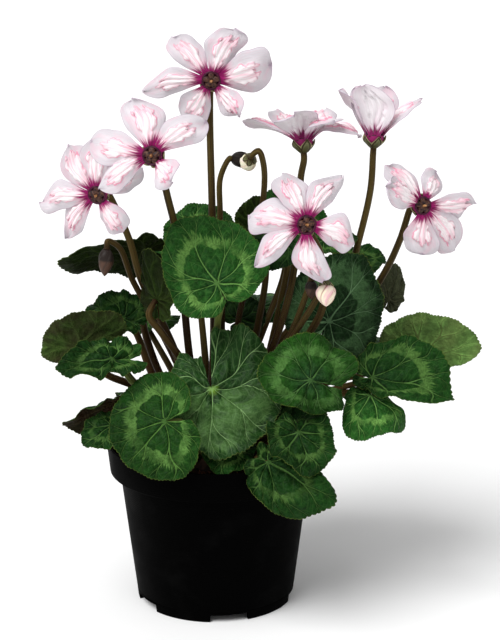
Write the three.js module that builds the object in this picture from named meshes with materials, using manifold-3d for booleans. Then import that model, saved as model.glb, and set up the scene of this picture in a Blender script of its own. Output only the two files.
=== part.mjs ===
// A florist's cyclamen in flower, grown from its tuber in a black 12 cm nursery pot.
// Millimetres, +Z up, and -Y is the side shown in front. The measures below are from the middle of the
// pot's foot, and the whole is then set with the middle of its outline over the origin.

import * as THREE from 'three';
import { mergeVertices } from 'three/addons/utils/BufferGeometryUtils.js';
import Module from 'manifold-3d';

const wasm = await Module();
wasm.setup();

// Pot
const RIM_RADIUS = 60;
const POT_HEIGHT = 91;
const COLLAR_DEPTH = 16.5;
const COLLAR_LOW_RADIUS = 58.2;
const SHOULDER_RADIUS = 52.8;
const FOOT_RADIUS = 43.8;
const POT_WALL = 1.5;
const FOOT_RING = 4;
const FOOT_NOTCHES = 5;
const NOTCH_WIDTH = 21;
const NOTCH_FIRST_ANGLE = -79;
const DRAIN_RADIUS = 4;
const DRAIN_CIRCLE = 27;
const POT_SEGMENTS = 36;
const FOOT_RING_WIDTH = 3;
const FOOT_RING_SLOPE = 0.4;
const EDGE_ROUND = 0.6;
const EDGE_HEIGHT = 0.8;
const NOTCH_REACH = 10;
const DRAIN_DEPTH = 12;
const DRAIN_SIDES = 8;

// Peat and tuber
const SOIL_TOP = 79;
const SOIL_RELIEF = 1.3;
const CROWN_DIP = 6;
const CROWN_DIP_SPREAD = 16;
const SOIL_SIDE_GAP = 0.6;
const SOIL_FLOOR_GAP = 0.2;
const SOIL_RINGS = [0, 0.4, 0.7, 1];
const SOIL_SEGMENTS = 24;
const TUBER_RADIUS = 22;
const TUBER_HALF_HEIGHT = 14;
const TUBER_CENTRE = 72;
const TUBER_SEGMENTS = 16;
const STEM_SINK = 3;
const STEM_SIDES = 5;
const CLEARANCE = 0.3;
const PETIOLE_RINGS = [14.5, 11.5, 8.5];
const STALK_RINGS = [5.8, 2.6];

// Leaves
const LEAF_THICKNESS = 0.9;
const PETIOLE_RADIUS = 1.8;
const RIM_STEPS = 24;
const SINUS_HALF_ANGLE = 0.08;
const SINUS_DEPTH = 0.3;
const SINUS_SPREAD = 0.35;
const TIP_LENGTH = 0.04;
const TIP_SPREAD = 0.2;
const TOOTH = 0.022;
const MARGIN_WAVES = 5;
const FOLD_ROUNDING = 0.15;
const LOBE_START = 1.2;
const LOBE_END = 2.4;
const LEAF_RINGS = [0.36, 0.72, 1];
const YOUNG_LEAF_BELOW = 170;
const PETIOLE_GAP = 1.5;
const PETIOLE_STRAIGHT = 9;
const PETIOLE_RISE = 0.35;
const PETIOLE_LEAN = 0.02;
const PETIOLE_SWEEP = 0.8;
const PETIOLE_STEPS = 4;
const BENT_PETIOLE_STEPS = 6;

// Flowers
const PETAL_THICKNESS = 0.9;
const PETAL_ROOT = 4.5;
const PETAL_SINK = 0.5;
const PETAL_BROAD = 0.66;
const PETAL_ROOT_WIDTH = 0.24;
const PETAL_TIP_WIDTH = 0.45;
const PETAL_CUP = 0.12;
const THROAT_RADIUS = 5.2;
const THROAT_DEPTH = 5;
const THROAT_WALL = 1.1;
const THROAT_FLOOR = 1.5;
const THROAT_LIP = 0.2;
const CREST_HEIGHT = 1.5;
const CREST_SLOPE = 2.2;
const CALYX_GAP = 0.35;
const CALYX_WALL = 1;
const CALYX_STEM = 2.4;
const CALYX_GROOVE = 0.8;
const CALYX_LOBE = 0.5;
const CALYX_NECK = 0.4;
const CALYX_NECK_HEIGHT = 2;
const CALYX_SHOULDER = 1.4;
const CALYX_FLOOR = 0.85;
const BUD_CALYX_HEIGHT = 3.2;
const BUD_TWIST = 1.6;
const BUD_FOLD = 0.88;
const BUD_LEAN = 0.75;
const BUD_FULLNESS = 0.7;
const STALK_RADIUS = 2.1;
const BUD_STALK_RADIUS = 1.7;
const STALK_STEPS = 7;
const STALK_STRAIGHT = 4;

// Each leaf: where its stalk meets the blade, its tip, the side its upper face looks to, its width to
// the left and to the right of the midrib, its rear lobes as a share of its length, how far ahead of
// the stalk it is widest, as a share of its length too, how pointed it is, and how it bends:
// curl from the stalk to the tip, roll from side to side, fold along the midrib, wave round the margin,
// and the two rear lobes' lift. A stalk that winds round its neighbours has points of its own.
const LEAVES = [
  { at: [2, -26, 186], tip: [-18, -12, 216], face: [0.1, -0.9, 0.42], half: [25, 31], back: 0.42, curl: 0.3,
    wave: 0.05, via: [[2, -4, 130], [2, -9, 160]] },
  { at: [-30, -14, 174], tip: [-35, -12, 201], face: [0.69, 0.72, 0.06], half: [13, 13], back: 0.5,
    curl: 0.3, via: [[-14, -6, 130], [-28, -16, 156]] },
  { at: [-40, 22, 193], tip: [-83, 4, 190], face: [-0.15, 0.66, 0.74], half: [18, 30], back: 0.35,
    pinch: 0.2, curl: 0.3, via: [[-34, 30, 125], [-42, 34, 160]] },
  { at: [-8, 34, 195], tip: [-16, 46, 213], face: [-0.2, -0.75, 0.6], half: [22, 22], back: 0.6 },
  { at: [25, 34, 202], tip: [22, 40, 219], face: [-0.3, 0.85, 0.4], half: [15, 15], back: 0.7 },
  { at: [42, 48, 198], tip: [38, 60, 222], face: [0, -0.8, 0.6], half: [23, 23], back: 0.5 },
  { at: [62, 33, 197], tip: [79, 38, 199], face: [0.15, -0.35, 0.93], half: [7, 13], back: 0.6, wave: 0.08,
    via: [[38, 30, 125], [54, 34, 168]] },
  { at: [80, 60, 178], tip: [97, 64, 180], face: [0.15, -0.45, 0.88], half: [14, 13], back: 0.6, wave: 0.1 },
  { at: [63, 5, 157], tip: [82, 26, 187], face: [0.3, -0.85, 0.42], half: [29, 28], back: 0.5, curl: 0.3 },
  { at: [115, 12, 135], tip: [146, 5, 142], face: [0.21, 0.95, 0.1], half: [10, 26], back: 0.8, roll: 0.2 },
  { at: [86, -16, 131], tip: [128, -22, 123], face: [0, -0.6, 0.8], half: [25, 15], back: 0.3, ahead: 0.4,
    fold: 0.4, curl: 0.2 },
  { at: [51, -45, 138], tip: [25, -45, 142], face: [-0.1, -0.85, 0.5], half: [17, 25], back: 1.05, curl: 0.3,
    wave: 0.1, via: [[23, -18, 110], [43, -30, 129]] },
  { at: [-1, -28, 128], tip: [5, -54, 99], face: [0.05, -0.78, 0.62], half: [38, 24], back: 0.7, curl: 0.4,
    lobes: [0.5, 0.2] },
  { at: [-25, -56, 119], tip: [-53, -54, 110], face: [-0.25, -0.85, 0.5], half: [31, 31], back: 0.6,
    roll: 0.5, via: [[-34, -38, 104]] },
  { at: [45, -53, 112], tip: [51, -68, 94], face: [0.23, -0.72, 0.65], half: [19, 18], back: 0.6, curl: 0.4,
    wave: 0.1, via: [[30, -42, 98]] },
  { at: [29, -57, 97], tip: [62, -67, 79], face: [0.05, -0.85, 0.5], half: [12, 21], back: 0.3, ahead: 0.35,
    curl: 0.3, wave: 0.06, via: [[29, -34, 95]] },
  { at: [84, -26, 124], tip: [73, -40, 105], face: [0, -0.82, 0.57], half: [28, 15], back: 0.3, curl: 0.6,
    roll: 1, pinch: 0.15 },
  { at: [-73, -8, 146], tip: [-93, -12, 144], face: [-0.15, 0.95, 0.24], half: [25, 9], back: 1.6, roll: 0.4,
    via: [[-38, -2, 118], [-60, -15, 134]] },
  { at: [-51, 12, 157], tip: [-71, 20, 161], face: [-0.09, -0.58, 0.81], half: [11, 17], back: 0.75,
    roll: -0.5, via: [[-36, 10, 128]] },
  { at: [-54, -31, 146], tip: [-81, -36, 141], face: [-0.03, -0.52, 0.85], half: [14, 13], back: 0.8,
    fold: 0.3, curl: 0.4, via: [[-32, -22, 118], [-46, -27, 136]] },
  { at: [-55, -16, 117], tip: [-81, -24, 107], face: [-0.46, 0.66, 0.59], half: [14, 17], back: 0.4,
    roll: 0.8 },
  { at: [-54, -38, 111], tip: [-68, -46, 103], face: [-0.25, -0.5, 0.83], half: [14, 14], back: 0.5,
    curl: 0.4 },
  { at: [8, -38, 100], tip: [4, -52, 89], face: [0, -0.7, 0.7], half: [15, 14], back: 0.6, curl: 0.3 },
  { at: [42, -26, 106], tip: [58, -18, 123], face: [0.2, -0.85, 0.5], half: [14, 14], back: 0.3, curl: 0.3 },
  { at: [99, 50, 158], tip: [104, 56, 177], face: [0.5, -0.6, 0.6], half: [11, 9], back: 0.4, curl: 0.3 },
  { at: [14, 24, 153], tip: [27, 28, 159], face: [0.1, -0.75, 0.65], half: [15, 13], back: 0.6 },
  { at: [37, 0, 206], tip: [29, -7, 190], face: [-0.1, -0.85, 0.5], half: [15, 15], back: 0.6, curl: 0.4 },
  { at: [-42, 60, 144], tip: [-66, 86, 143], face: [-0.35, 0.45, 0.8], half: [25, 25], back: 0.4, curl: 0.5,
    wave: 0.08 },
  { at: [-12, 58, 178], tip: [-20, 92, 182], face: [-0.1, 0.45, 0.88], half: [28, 28], back: 0.5, curl: 0.5,
    wave: 0.06 },
  { at: [22, 66, 150], tip: [30, 102, 148], face: [0.1, 0.5, 0.85], half: [25, 25], back: 0.4, curl: 0.5,
    wave: 0.08, via: [[22, 38, 110]] },
  { at: [84, 56, 130], tip: [112, 72, 124], face: [0.4, 0.3, 0.85], half: [24, 24], back: 0.5, curl: 0.4 },
  { at: [2, 54, 106], tip: [0, 88, 94], face: [0, 0.6, 0.8], half: [20, 22], back: 0.35, curl: 0.6,
    wave: 0.08 },
  { at: [-36, 44, 106], tip: [-50, 68, 94], face: [-0.3, 0.55, 0.8], half: [20, 20], back: 0.4, curl: 0.5 },
  { at: [62, 52, 103], tip: [88, 74, 88], face: [0.4, 0.4, 0.8], half: [21, 21], back: 0.35, curl: 0.5 },
];

// Each petal: the clock angle it points to, seen from the front of the flower, its length and width,
// the angle it lifts from the flower's plane at its root, how much more it bends on its way to the
// tip, how far it twists, and how far it sweeps round.
const petal = (angle, length, width, lift, bend, twist = 0.3, sweep = 0) => ({
  angle, length, width, lift, bend, twist, sweep,
});

// Each flower: the middle of its mouth, the way it faces, its stalk's way up from the tuber, and its petals.
const FLOWERS = [
  { at: [-1, 0, 289.5], face: [0.05, -0.97, -0.12], stalk: [[0, 8, 150], [-1, 10, 215], [-2, 10, 270]],
    petals: [petal(274, 31, 14, 0.1, -0.3, 0.3, 0.1), petal(322, 25, 15, -0.2, -0.2),
      petal(18, 24, 18, 0, -0.3), petal(78, 28, 23, 0.1, -0.3), petal(139, 19, 12, 0.5, -0.2, 0.6),
      petal(212, 21, 17, 0.1, -0.3)] },
  { at: [-30.5, -44, 257], face: [-0.2, -0.95, 0.1], stalk: [[-14, 2, 140], [-19, 0, 200], [-24, -22, 233]],
    petals: [petal(347, 26, 22, 0, -0.3), petal(42, 27, 17, 0, -0.3, 0.3, -0.3),
      petal(133, 17, 17, 0.8, -0.3), petal(251, 27, 17, 0.2, -0.3, 0.3, 0.3),
      petal(280, 29, 18, 0.1, -0.3)] },
  { at: [-61, -20, 232], face: [-0.3, -0.92, -0.15], stalk: [[-22, 1, 142], [-30, 2, 160], [-40, 2, 182],
    [-46, 0, 205]],
    petals: [petal(322, 25, 18, 0, -0.3), petal(3, 27, 19, 0, -0.4), petal(60, 24, 16, -0.5, -0.3),
      petal(146, 19, 17, 0.2, -0.3), petal(234, 27, 14, 0.1, -0.3, 0.3, 0.35),
      petal(267, 29, 15, 0.1, -0.3)] },
  { at: [48, 10, 257], face: [-0.05, 0.2, 0.97], stalk: [[22, 0, 120], [37, -4, 160], [44, 5, 190],
    [47, 11, 236]],
    petals: [petal(32, 27, 18, 0.8, -0.5), petal(97, 30, 19, 0.8, -1.2), petal(140, 23, 18, 0.9, -0.8),
      petal(192, 21, 23, 1.15, -0.6), petal(276, 28, 18, 0.75, -0.4), petal(328, 27, 19, 0.95, -0.4)] },
  { at: [87, 20, 258], face: [0.05, 0, 1], stalk: [[38, 26, 128], [72, 34, 164], [80, 44, 190],
    [86, 30, 225]],
    petals: [petal(20, 26, 18, 1.35, -0.2), petal(90, 28, 17, 1.15, -0.4), petal(180, 28, 21, 1.5, -0.2),
      petal(262, 27, 17, 1.4, -0.25), petal(320, 26, 17, 1.3, -0.2)] },
  { at: [48.5, -48, 222], face: [0.15, -0.97, 0.15], stalk: [[30, -10, 125], [58, -24, 172], [56, -32, 204]],
    petals: [petal(340, 24, 16, 0, -0.3), petal(24, 26, 16, 0, -0.3, 0.3, -0.2),
      petal(103, 22, 19, 0.1, -0.3), petal(182, 25, 17, 0.1, -0.3, 0.3, 0.15),
      petal(247, 28, 13, 0.1, -0.3, 0.3, 0.3),
      petal(286, 25, 18, 0, -0.3)] },
  { at: [113, 5, 221.5], face: [0.45, -0.88, 0.1], stalk: [[46, 30, 120], [78, 38, 150], [94, 33, 176],
    [102, 18, 200]],
    petals: [petal(326, 26, 18, 0, -0.2), petal(297, 25, 17, 0.4, -0.3), petal(33, 16, 16, 0, -0.4),
      petal(97, 31, 14, 0, -0.2), petal(134, 29, 18, 0, -0.2), petal(187, 22, 19, 0.1, -0.3)] },
];

// Each bud: the end of its calyx, the way it points, its length and radius, and its stalk.
// A bud still shut in its calyx is one green piece.
const BUDS = [
  { at: [19, 5, 246], point: [-0.2, 0.85, -0.5], length: 13, radius: 4.8, shut: false,
    stalk: [[12, 10, 150], [25.5, 9, 215], [27, 0, 243], [24, -5, 253]] },
  { at: [59, -41, 186], point: [0, -0.45, -0.9], length: 12, radius: 5.4, shut: false,
    stalk: [[24, -8, 120], [42, -26, 156], [57, -32, 184], [60, -33, 195]] },
  { at: [9, 24, 244], point: [1, 0.2, -0.15], length: 15, radius: 4.6, shut: true,
    stalk: [[4, 14, 150], [5, 22, 215], [5, 22, 232], [6.5, 22.5, 240]] },
  { at: [52, -24, 187], point: [0, -0.2, -1], length: 10, radius: 3.6, shut: true,
    stalk: [[24, -6, 120], [42, -13, 156], [50, -14, 178], [53, -18, 190]] },
  { at: [-56, -22, 204], point: [-0.1, -0.1, -1], length: 15, radius: 4.2, shut: true,
    stalk: [[-20, 6, 130], [-34, 5, 160], [-44, -3, 182], [-50, -16, 203]] },
];

const COLOURS = {
  pot: [0x151515, 0.55], soil: [0x2f2118, 0.95], stems: [0x4a2a1c, 0.6],
  leaf: [0x1f4a22, 0.5], youngLeaf: [0x33602c, 0.5], calyx: [0x4d5a26, 0.6],
  petals: [0xf3dfe8, 0.55], shutBud: [0x56602f, 0.6],
};

const vec = (list) => new THREE.Vector3(...list);

function material([color, roughness]) {
  return new THREE.MeshStandardMaterial({ color, roughness, metalness: 0 });
}

// Boolean work: closed meshes in, closed meshes out.

function toSolid(geometry) {
  const bare = new THREE.BufferGeometry();
  bare.setAttribute('position', geometry.getAttribute('position').clone());
  if (geometry.index) bare.setIndex(geometry.index.clone());
  const merged = mergeVertices(bare, 1e-4);
  const corners = [];
  const index = merged.index.array;
  for (let i = 0; i < index.length; i += 3) {
    const [a, b, c] = [index[i], index[i + 1], index[i + 2]];
    if (a !== b && b !== c && c !== a) corners.push(a, b, c);
  }
  const vertProperties = new Float32Array(merged.getAttribute('position').array);
  return new wasm.Manifold(new wasm.Mesh({ numProp: 3, vertProperties, triVerts: new Uint32Array(corners) }));
}

function toGeometry(solid) {
  const mesh = solid.getMesh();
  const geometry = new THREE.BufferGeometry();
  geometry.setAttribute('position', new THREE.BufferAttribute(new Float32Array(mesh.vertProperties), 3));
  geometry.setIndex(new THREE.BufferAttribute(new Uint32Array(mesh.triVerts), 1));
  return geometry;
}

function join(geometries) {
  return geometries.map(toSolid).reduce((whole, piece) => whole.add(piece));
}

// Crossing stems can shut in a tiny hollow: only the solid's outer skin is kept.
function outerSkin(solid) {
  return solid.decompose().reduce((largest, body) => (body.volume() > largest.volume() ? body : largest));
}

function piece(name, geometry, finish) {
  const mesh = new THREE.Mesh(geometry, material(finish));
  mesh.name = name;
  return mesh;
}

// A thin sheet with a front and a back: the same triangles on both faces, and a wall round its border.
// The triangles and the border run anticlockwise, seen from the front.
function sheet(points, triangles, border, thickness) {
  const normals = points.map(() => new THREE.Vector3());
  const edgeA = new THREE.Vector3();
  const edgeB = new THREE.Vector3();
  for (const [a, b, c] of triangles) {
    edgeA.subVectors(points[b], points[a]);
    edgeB.subVectors(points[c], points[a]);
    const across = edgeA.clone().cross(edgeB);
    for (const corner of [a, b, c]) normals[corner].add(across);
  }
  const count = points.length;
  const positions = [];
  for (const side of [0.5, -0.5]) {
    points.forEach((point, i) => {
      positions.push(...point.clone().addScaledVector(normals[i].normalize(), side * thickness));
    });
  }
  const index = [];
  for (const [a, b, c] of triangles) {
    index.push(a, b, c);
    index.push(a + count, c + count, b + count);
  }
  border.forEach((a, i) => {
    const b = border[(i + 1) % border.length];
    index.push(a, a + count, b + count);
    index.push(a, b + count, b);
  });
  const geometry = new THREE.BufferGeometry();
  geometry.setAttribute('position', new THREE.Float32BufferAttribute(positions, 3));
  geometry.setIndex(index);
  return geometry;
}

// A round bar along a smooth curve through the points, closed at both ends.
function tube(points, radius, sides, steps) {
  const section = new THREE.Shape();
  for (let i = 0; i < sides; i += 1) {
    const turn = (2 * Math.PI * i) / sides;
    const [x, y] = [radius * Math.cos(turn), radius * Math.sin(turn)];
    if (i === 0) section.moveTo(x, y);
    else section.lineTo(x, y);
  }
  const path = new THREE.CatmullRomCurve3(points, false, 'centripetal');
  return new THREE.ExtrudeGeometry(section, { steps, extrudePath: path, bevelEnabled: false });
}

// Pot, peat and tuber

function potGeometry() {
  const collarFoot = POT_HEIGHT - COLLAR_DEPTH;
  const floorTop = FOOT_RING + POT_WALL;
  const floorRadius = FOOT_RADIUS + (SHOULDER_RADIUS - FOOT_RADIUS) * (floorTop / collarFoot) - POT_WALL;
  const profile = [
    [0, FOOT_RING], [FOOT_RADIUS - FOOT_RING_WIDTH, FOOT_RING],
    [FOOT_RADIUS - FOOT_RING_WIDTH + FOOT_RING_SLOPE, 0], [FOOT_RADIUS - EDGE_ROUND, 0],
    [FOOT_RADIUS, EDGE_HEIGHT], [SHOULDER_RADIUS, collarFoot - EDGE_ROUND], [COLLAR_LOW_RADIUS, collarFoot],
    [RIM_RADIUS, POT_HEIGHT - EDGE_HEIGHT], [RIM_RADIUS - EDGE_ROUND, POT_HEIGHT],
    [RIM_RADIUS - POT_WALL, POT_HEIGHT],
    [COLLAR_LOW_RADIUS - POT_WALL, collarFoot + POT_WALL], [SHOULDER_RADIUS - POT_WALL, collarFoot],
    [floorRadius, floorTop], [0, floorTop],
  ].map(([radius, height]) => new THREE.Vector2(radius, height));
  let pot = toSolid(new THREE.LatheGeometry(profile, POT_SEGMENTS).rotateX(Math.PI / 2));
  for (let i = 0; i < FOOT_NOTCHES; i += 1) {
    const angle = THREE.MathUtils.degToRad(NOTCH_FIRST_ANGLE + (360 * i) / FOOT_NOTCHES);
    const notch = new THREE.BoxGeometry(NOTCH_REACH, NOTCH_WIDTH, 2 * FOOT_RING + EDGE_ROUND);
    notch.translate(FOOT_RADIUS, 0, 0).rotateZ(angle);
    const drain = new THREE.CylinderGeometry(DRAIN_RADIUS, DRAIN_RADIUS, DRAIN_DEPTH, DRAIN_SIDES);
    drain.rotateX(Math.PI / 2).translate(DRAIN_CIRCLE, 0, FOOT_RING).rotateZ(angle);
    pot = pot.subtract(toSolid(notch)).subtract(toSolid(drain));
  }
  return toGeometry(pot);
}

// The peat is uneven by slow waves that cross, and dips round the crown.
function soilHeight(x, y) {
  const grain = Math.sin(x * 0.21 + 1) * Math.cos(y * 0.17) + 0.5 * Math.sin(x * 0.43 - y * 0.38);
  const dip = CROWN_DIP * Math.exp(-((Math.hypot(x, y) / CROWN_DIP_SPREAD) ** 2));
  return SOIL_TOP + SOIL_RELIEF * grain - dip;
}

function soilGeometry() {
  const collarFoot = POT_HEIGHT - COLLAR_DEPTH;
  const topRadius = COLLAR_LOW_RADIUS - POT_WALL - SOIL_SIDE_GAP;
  const wallRadius = SHOULDER_RADIUS - POT_WALL - SOIL_SIDE_GAP;
  const floorHeight = FOOT_RING + POT_WALL + CLEARANCE;
  const floorRadius = FOOT_RADIUS - POT_WALL - SOIL_FLOOR_GAP;
  const positions = [0, 0, soilHeight(0, 0)];
  const index = [];
  const addRing = (radius, height) => {
    for (let i = 0; i < SOIL_SEGMENTS; i += 1) {
      const turn = (2 * Math.PI * i) / SOIL_SEGMENTS;
      const [x, y] = [radius * Math.cos(turn), radius * Math.sin(turn)];
      positions.push(x, y, height === undefined ? soilHeight(x, y) : height);
    }
  };
  SOIL_RINGS.slice(1).forEach((share) => addRing(share * topRadius));
  addRing(topRadius, collarFoot + POT_WALL + SOIL_SIDE_GAP);
  addRing(wallRadius, collarFoot);
  addRing(floorRadius, floorHeight);
  const levels = SOIL_RINGS.length + 2;
  positions.push(0, 0, floorHeight);
  const last = positions.length / 3 - 1;
  for (let i = 0; i < SOIL_SEGMENTS; i += 1) {
    const next = (i + 1) % SOIL_SEGMENTS;
    index.push(0, 1 + i, 1 + next);
    for (let level = 0; level < levels - 1; level += 1) {
      const inner = 1 + level * SOIL_SEGMENTS;
      const outer = inner + SOIL_SEGMENTS;
      index.push(inner + i, outer + i, outer + next, inner + i, outer + next, inner + next);
    }
    const foot = 1 + (levels - 1) * SOIL_SEGMENTS;
    index.push(foot + i, last, foot + next);
  }
  const geometry = new THREE.BufferGeometry();
  geometry.setAttribute('position', new THREE.Float32BufferAttribute(positions, 3));
  geometry.setIndex(index);
  return toGeometry(toSolid(geometry).subtract(toSolid(tuberGeometry(CLEARANCE))));
}

function tuberGeometry(grow = 0) {
  const ball = new THREE.SphereGeometry(1, TUBER_SEGMENTS, TUBER_SEGMENTS / 2).rotateX(Math.PI / 2);
  ball.scale(TUBER_RADIUS + grow, TUBER_RADIUS + grow, TUBER_HALF_HEIGHT + grow);
  return ball.translate(0, 0, TUBER_CENTRE);
}

// Leaves

// The three directions of a blade: to its right, to its tip and up from its face.
function leafFrame(leaf) {
  const forward = vec(leaf.tip).sub(vec(leaf.at)).normalize();
  const up = vec(leaf.face);
  up.addScaledVector(forward, -up.dot(forward)).normalize();
  const right = forward.clone().cross(up);
  return { right, forward, up };
}

function smoothstep(low, high, value) {
  const share = THREE.MathUtils.clamp((value - low) / (high - low), 0, 1);
  return share * share * (3 - 2 * share);
}

// How far the margin is from the stalk: two half ovals meet where the blade is widest.
function rimRadius(angle, length, rear, half, ahead) {
  const [forward, sideways] = [Math.cos(angle), Math.sin(angle)];
  const onOval = (reach) => {
    const square = (forward / reach) ** 2 + (sideways / half) ** 2;
    const shift = (forward * ahead) / reach ** 2;
    return (shift + Math.sqrt(shift ** 2 - square * ((ahead / reach) ** 2 - 1))) / square;
  };
  const front = onOval(length - ahead);
  return front * forward > ahead ? front : onOval(rear + ahead);
}

// A point of the blade's middle surface, at an angle from the tip's direction and a share of the way out.
function leafPoint(leaf, angle, share, tooth) {
  const { back, ahead = 0, pinch = 0, curl = 0, roll = 0, fold = 0, wave = 0 } = leaf;
  const half = angle < 0 ? leaf.half[0] : leaf.half[1];
  const [leftLobe, rightLobe] = leaf.lobes ?? [0, 0];
  const chord = vec(leaf.tip).distanceTo(vec(leaf.at));
  const length = curl ? (chord * curl) / (2 * Math.sin(curl / 2)) : chord;
  const behind = Math.PI - Math.abs(angle);
  let radius = rimRadius(angle, length, length * back, half, length * ahead);
  radius *= 1 - pinch * Math.sin(2 * angle) ** 2;
  const sinus = SINUS_DEPTH * Math.exp(-((behind / SINUS_SPREAD) ** 2));
  const point = TIP_LENGTH * Math.exp(-((angle / TIP_SPREAD) ** 2));
  radius *= 1 - sinus + point + tooth;
  const x = share * radius * Math.sin(angle);
  const y = share * radius * Math.cos(angle);
  const across = x / half;
  let height = fold * half * (Math.hypot(across, FOLD_ROUNDING) - FOLD_ROUNDING);
  height += wave * leaf.half[0] * share ** 3 * Math.sin(MARGIN_WAVES * angle + chord);
  const rear = smoothstep(LOBE_START, LOBE_END, Math.abs(angle));
  height += (angle < 0 ? leftLobe : rightLobe) * half * share ** 2 * rear;
  height -= half * (1 - Math.cos(roll * across)) / (roll || 1);
  const out = roll ? (half * Math.sin(roll * across)) / roll : x;
  if (!curl) return new THREE.Vector3(out, y, height);
  const bend = (curl * y) / length;
  const arc = length / curl;
  const along = arc * Math.sin(bend) + height * Math.sin(bend);
  const above = height * Math.cos(bend) - arc * (1 - Math.cos(bend));
  const tilt = curl / 2;
  const forward = along * Math.cos(tilt) - above * Math.sin(tilt);
  const up = along * Math.sin(tilt) + above * Math.cos(tilt);
  return new THREE.Vector3(out, forward, up);
}

function leafGeometry(leaf) {
  const rings = LEAF_RINGS.map((share, i) => [RIM_STEPS / 2 ** (LEAF_RINGS.length - 1 - i), share]);
  const points = [new THREE.Vector3()];
  const starts = [];
  for (const [steps, share] of rings) {
    starts.push(points.length);
    for (let i = 0; i <= steps; i += 1) {
      const angle = (Math.PI - SINUS_HALF_ANGLE) * (1 - (2 * i) / steps);
      const tooth = steps === RIM_STEPS ? TOOTH * (i % 2 ? 1 : -1) : 0;
      points.push(leafPoint(leaf, angle, share, tooth));
    }
  }
  const triangles = [];
  for (let i = 0; i < rings[0][0]; i += 1) triangles.push([0, 1 + i, 2 + i]);
  for (let ring = 0; ring < rings.length - 1; ring += 1) {
    for (let i = 0; i < rings[ring][0]; i += 1) {
      const inner = starts[ring] + i;
      const outer = starts[ring + 1] + 2 * i;
      triangles.push([inner, outer, outer + 1], [inner, outer + 1, inner + 1]);
      triangles.push([inner + 1, outer + 1, outer + 2]);
    }
  }
  const border = [0, starts[0], starts[1]];
  for (let i = 0; i <= RIM_STEPS; i += 1) border.push(starts[2] + i);
  border.push(starts[1] + rings[1][0], starts[0] + rings[0][0]);
  return sheet(points, triangles, border, LEAF_THICKNESS);
}

// A leaf's stalk leaves the tuber upright and meets the blade from below and behind.
function petiolePoints(leaf, root) {
  const { forward, up } = leafFrame(leaf);
  const arrive = forward.clone().add(up).normalize();
  const end = vec(leaf.at).addScaledVector(up, -(LEAF_THICKNESS / 2 + CLEARANCE + PETIOLE_GAP));
  const rise = end.distanceTo(root) * PETIOLE_RISE;
  const above = root.clone().addScaledVector(root, PETIOLE_LEAN * rise);
  above.z = root.z + rise;
  const before = end.clone().addScaledVector(arrive, -PETIOLE_STRAIGHT);
  if (leaf.via) return [root, ...leaf.via.map(vec), before, end];
  const behind = end.clone().addScaledVector(arrive, -PETIOLE_SWEEP * rise);
  return new THREE.CubicBezierCurve3(root, above, behind, end).getPoints(PETIOLE_STEPS);
}

// The stems stand in rings on the tuber's crown, each on the side that it leans to.
function crownRoots(places, rings) {
  const turns = places.map(([x, y]) => Math.atan2(y, x));
  const order = turns.map((turn, i) => i).sort((a, b) => turns[a] - turns[b]);
  return turns.map((turn, i) => {
    const radius = rings[order.indexOf(i) % rings.length];
    const height = TUBER_CENTRE + TUBER_HALF_HEIGHT * Math.sqrt(1 - (radius / TUBER_RADIUS) ** 2);
    return new THREE.Vector3(radius * Math.cos(turn), radius * Math.sin(turn), height - STEM_SINK);
  });
}

function leafMesh(leaf, name) {
  const { right, forward, up } = leafFrame(leaf);
  const finish = leaf.at[2] > YOUNG_LEAF_BELOW ? COLOURS.leaf : COLOURS.youngLeaf;
  const mesh = piece(name, leafGeometry(leaf), finish);
  mesh.position.set(...leaf.at);
  mesh.quaternion.setFromRotationMatrix(new THREE.Matrix4().makeBasis(right, forward, up));
  return mesh;
}

// Flowers

// The three directions of a flower: to its right and upward, seen from the front, and the way it faces.
function flowerFrame(facing) {
  const face = vec(facing).normalize();
  const top = Math.abs(face.z) > 0.9 ? new THREE.Vector3(0, 1, 0) : new THREE.Vector3(0, 0, 1);
  top.addScaledVector(face, -top.dot(face)).normalize();
  const right = top.clone().cross(face);
  return { right, top, face };
}

function petalWidth(share) {
  if (share < PETAL_BROAD) {
    const swell = Math.sin((Math.PI / 2) * (share / PETAL_BROAD)) ** 1.4;
    return PETAL_ROOT_WIDTH + (1 - PETAL_ROOT_WIDTH) * swell;
  }
  const ahead = (share - PETAL_BROAD) / (1 - PETAL_BROAD);
  return PETAL_TIP_WIDTH + (1 - PETAL_TIP_WIDTH) * Math.sqrt(1 - ahead ** 2);
}

// A point of a petal's middle surface, in the flower's own directions, along it and across it.
function petalPoint({ angle, length, width, lift, bend, twist, sweep }, along, across) {
  const turn = THREE.MathUtils.degToRad(angle);
  const outward = new THREE.Vector3(Math.sin(turn), Math.cos(turn), 0);
  const sideways = new THREE.Vector3(-Math.cos(turn), Math.sin(turn), 0);
  const face = new THREE.Vector3(0, 0, 1);
  const slope = bend || 1e-3;
  const reach = PETAL_ROOT + (length * (Math.sin(lift + slope * along) - Math.sin(lift))) / slope;
  const rise = (length * (Math.cos(lift) - Math.cos(lift + slope * along))) / slope;
  const half = (width / 2) * petalWidth(along);
  const pitch = lift + slope * along;
  const normal = outward.clone().multiplyScalar(-Math.sin(pitch)).addScaledVector(face, Math.cos(pitch));
  const spin = twist * along;
  const over = sideways.clone().multiplyScalar(Math.cos(spin)).addScaledVector(normal, Math.sin(spin));
  const above = normal.clone().multiplyScalar(Math.cos(spin)).addScaledVector(sideways, -Math.sin(spin));
  const ridge = Math.max(0, 1 - CREST_SLOPE * Math.abs(across));
  const crest = CREST_HEIGHT * ridge * Math.sqrt(Math.sin(Math.PI * along));
  return outward.multiplyScalar(reach)
    .addScaledVector(face, rise - PETAL_SINK)
    .addScaledVector(sideways, sweep * length * along ** 2)
    .addScaledVector(over, half * across)
    .addScaledVector(above, crest - PETAL_CUP * half * across ** 2);
}

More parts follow.
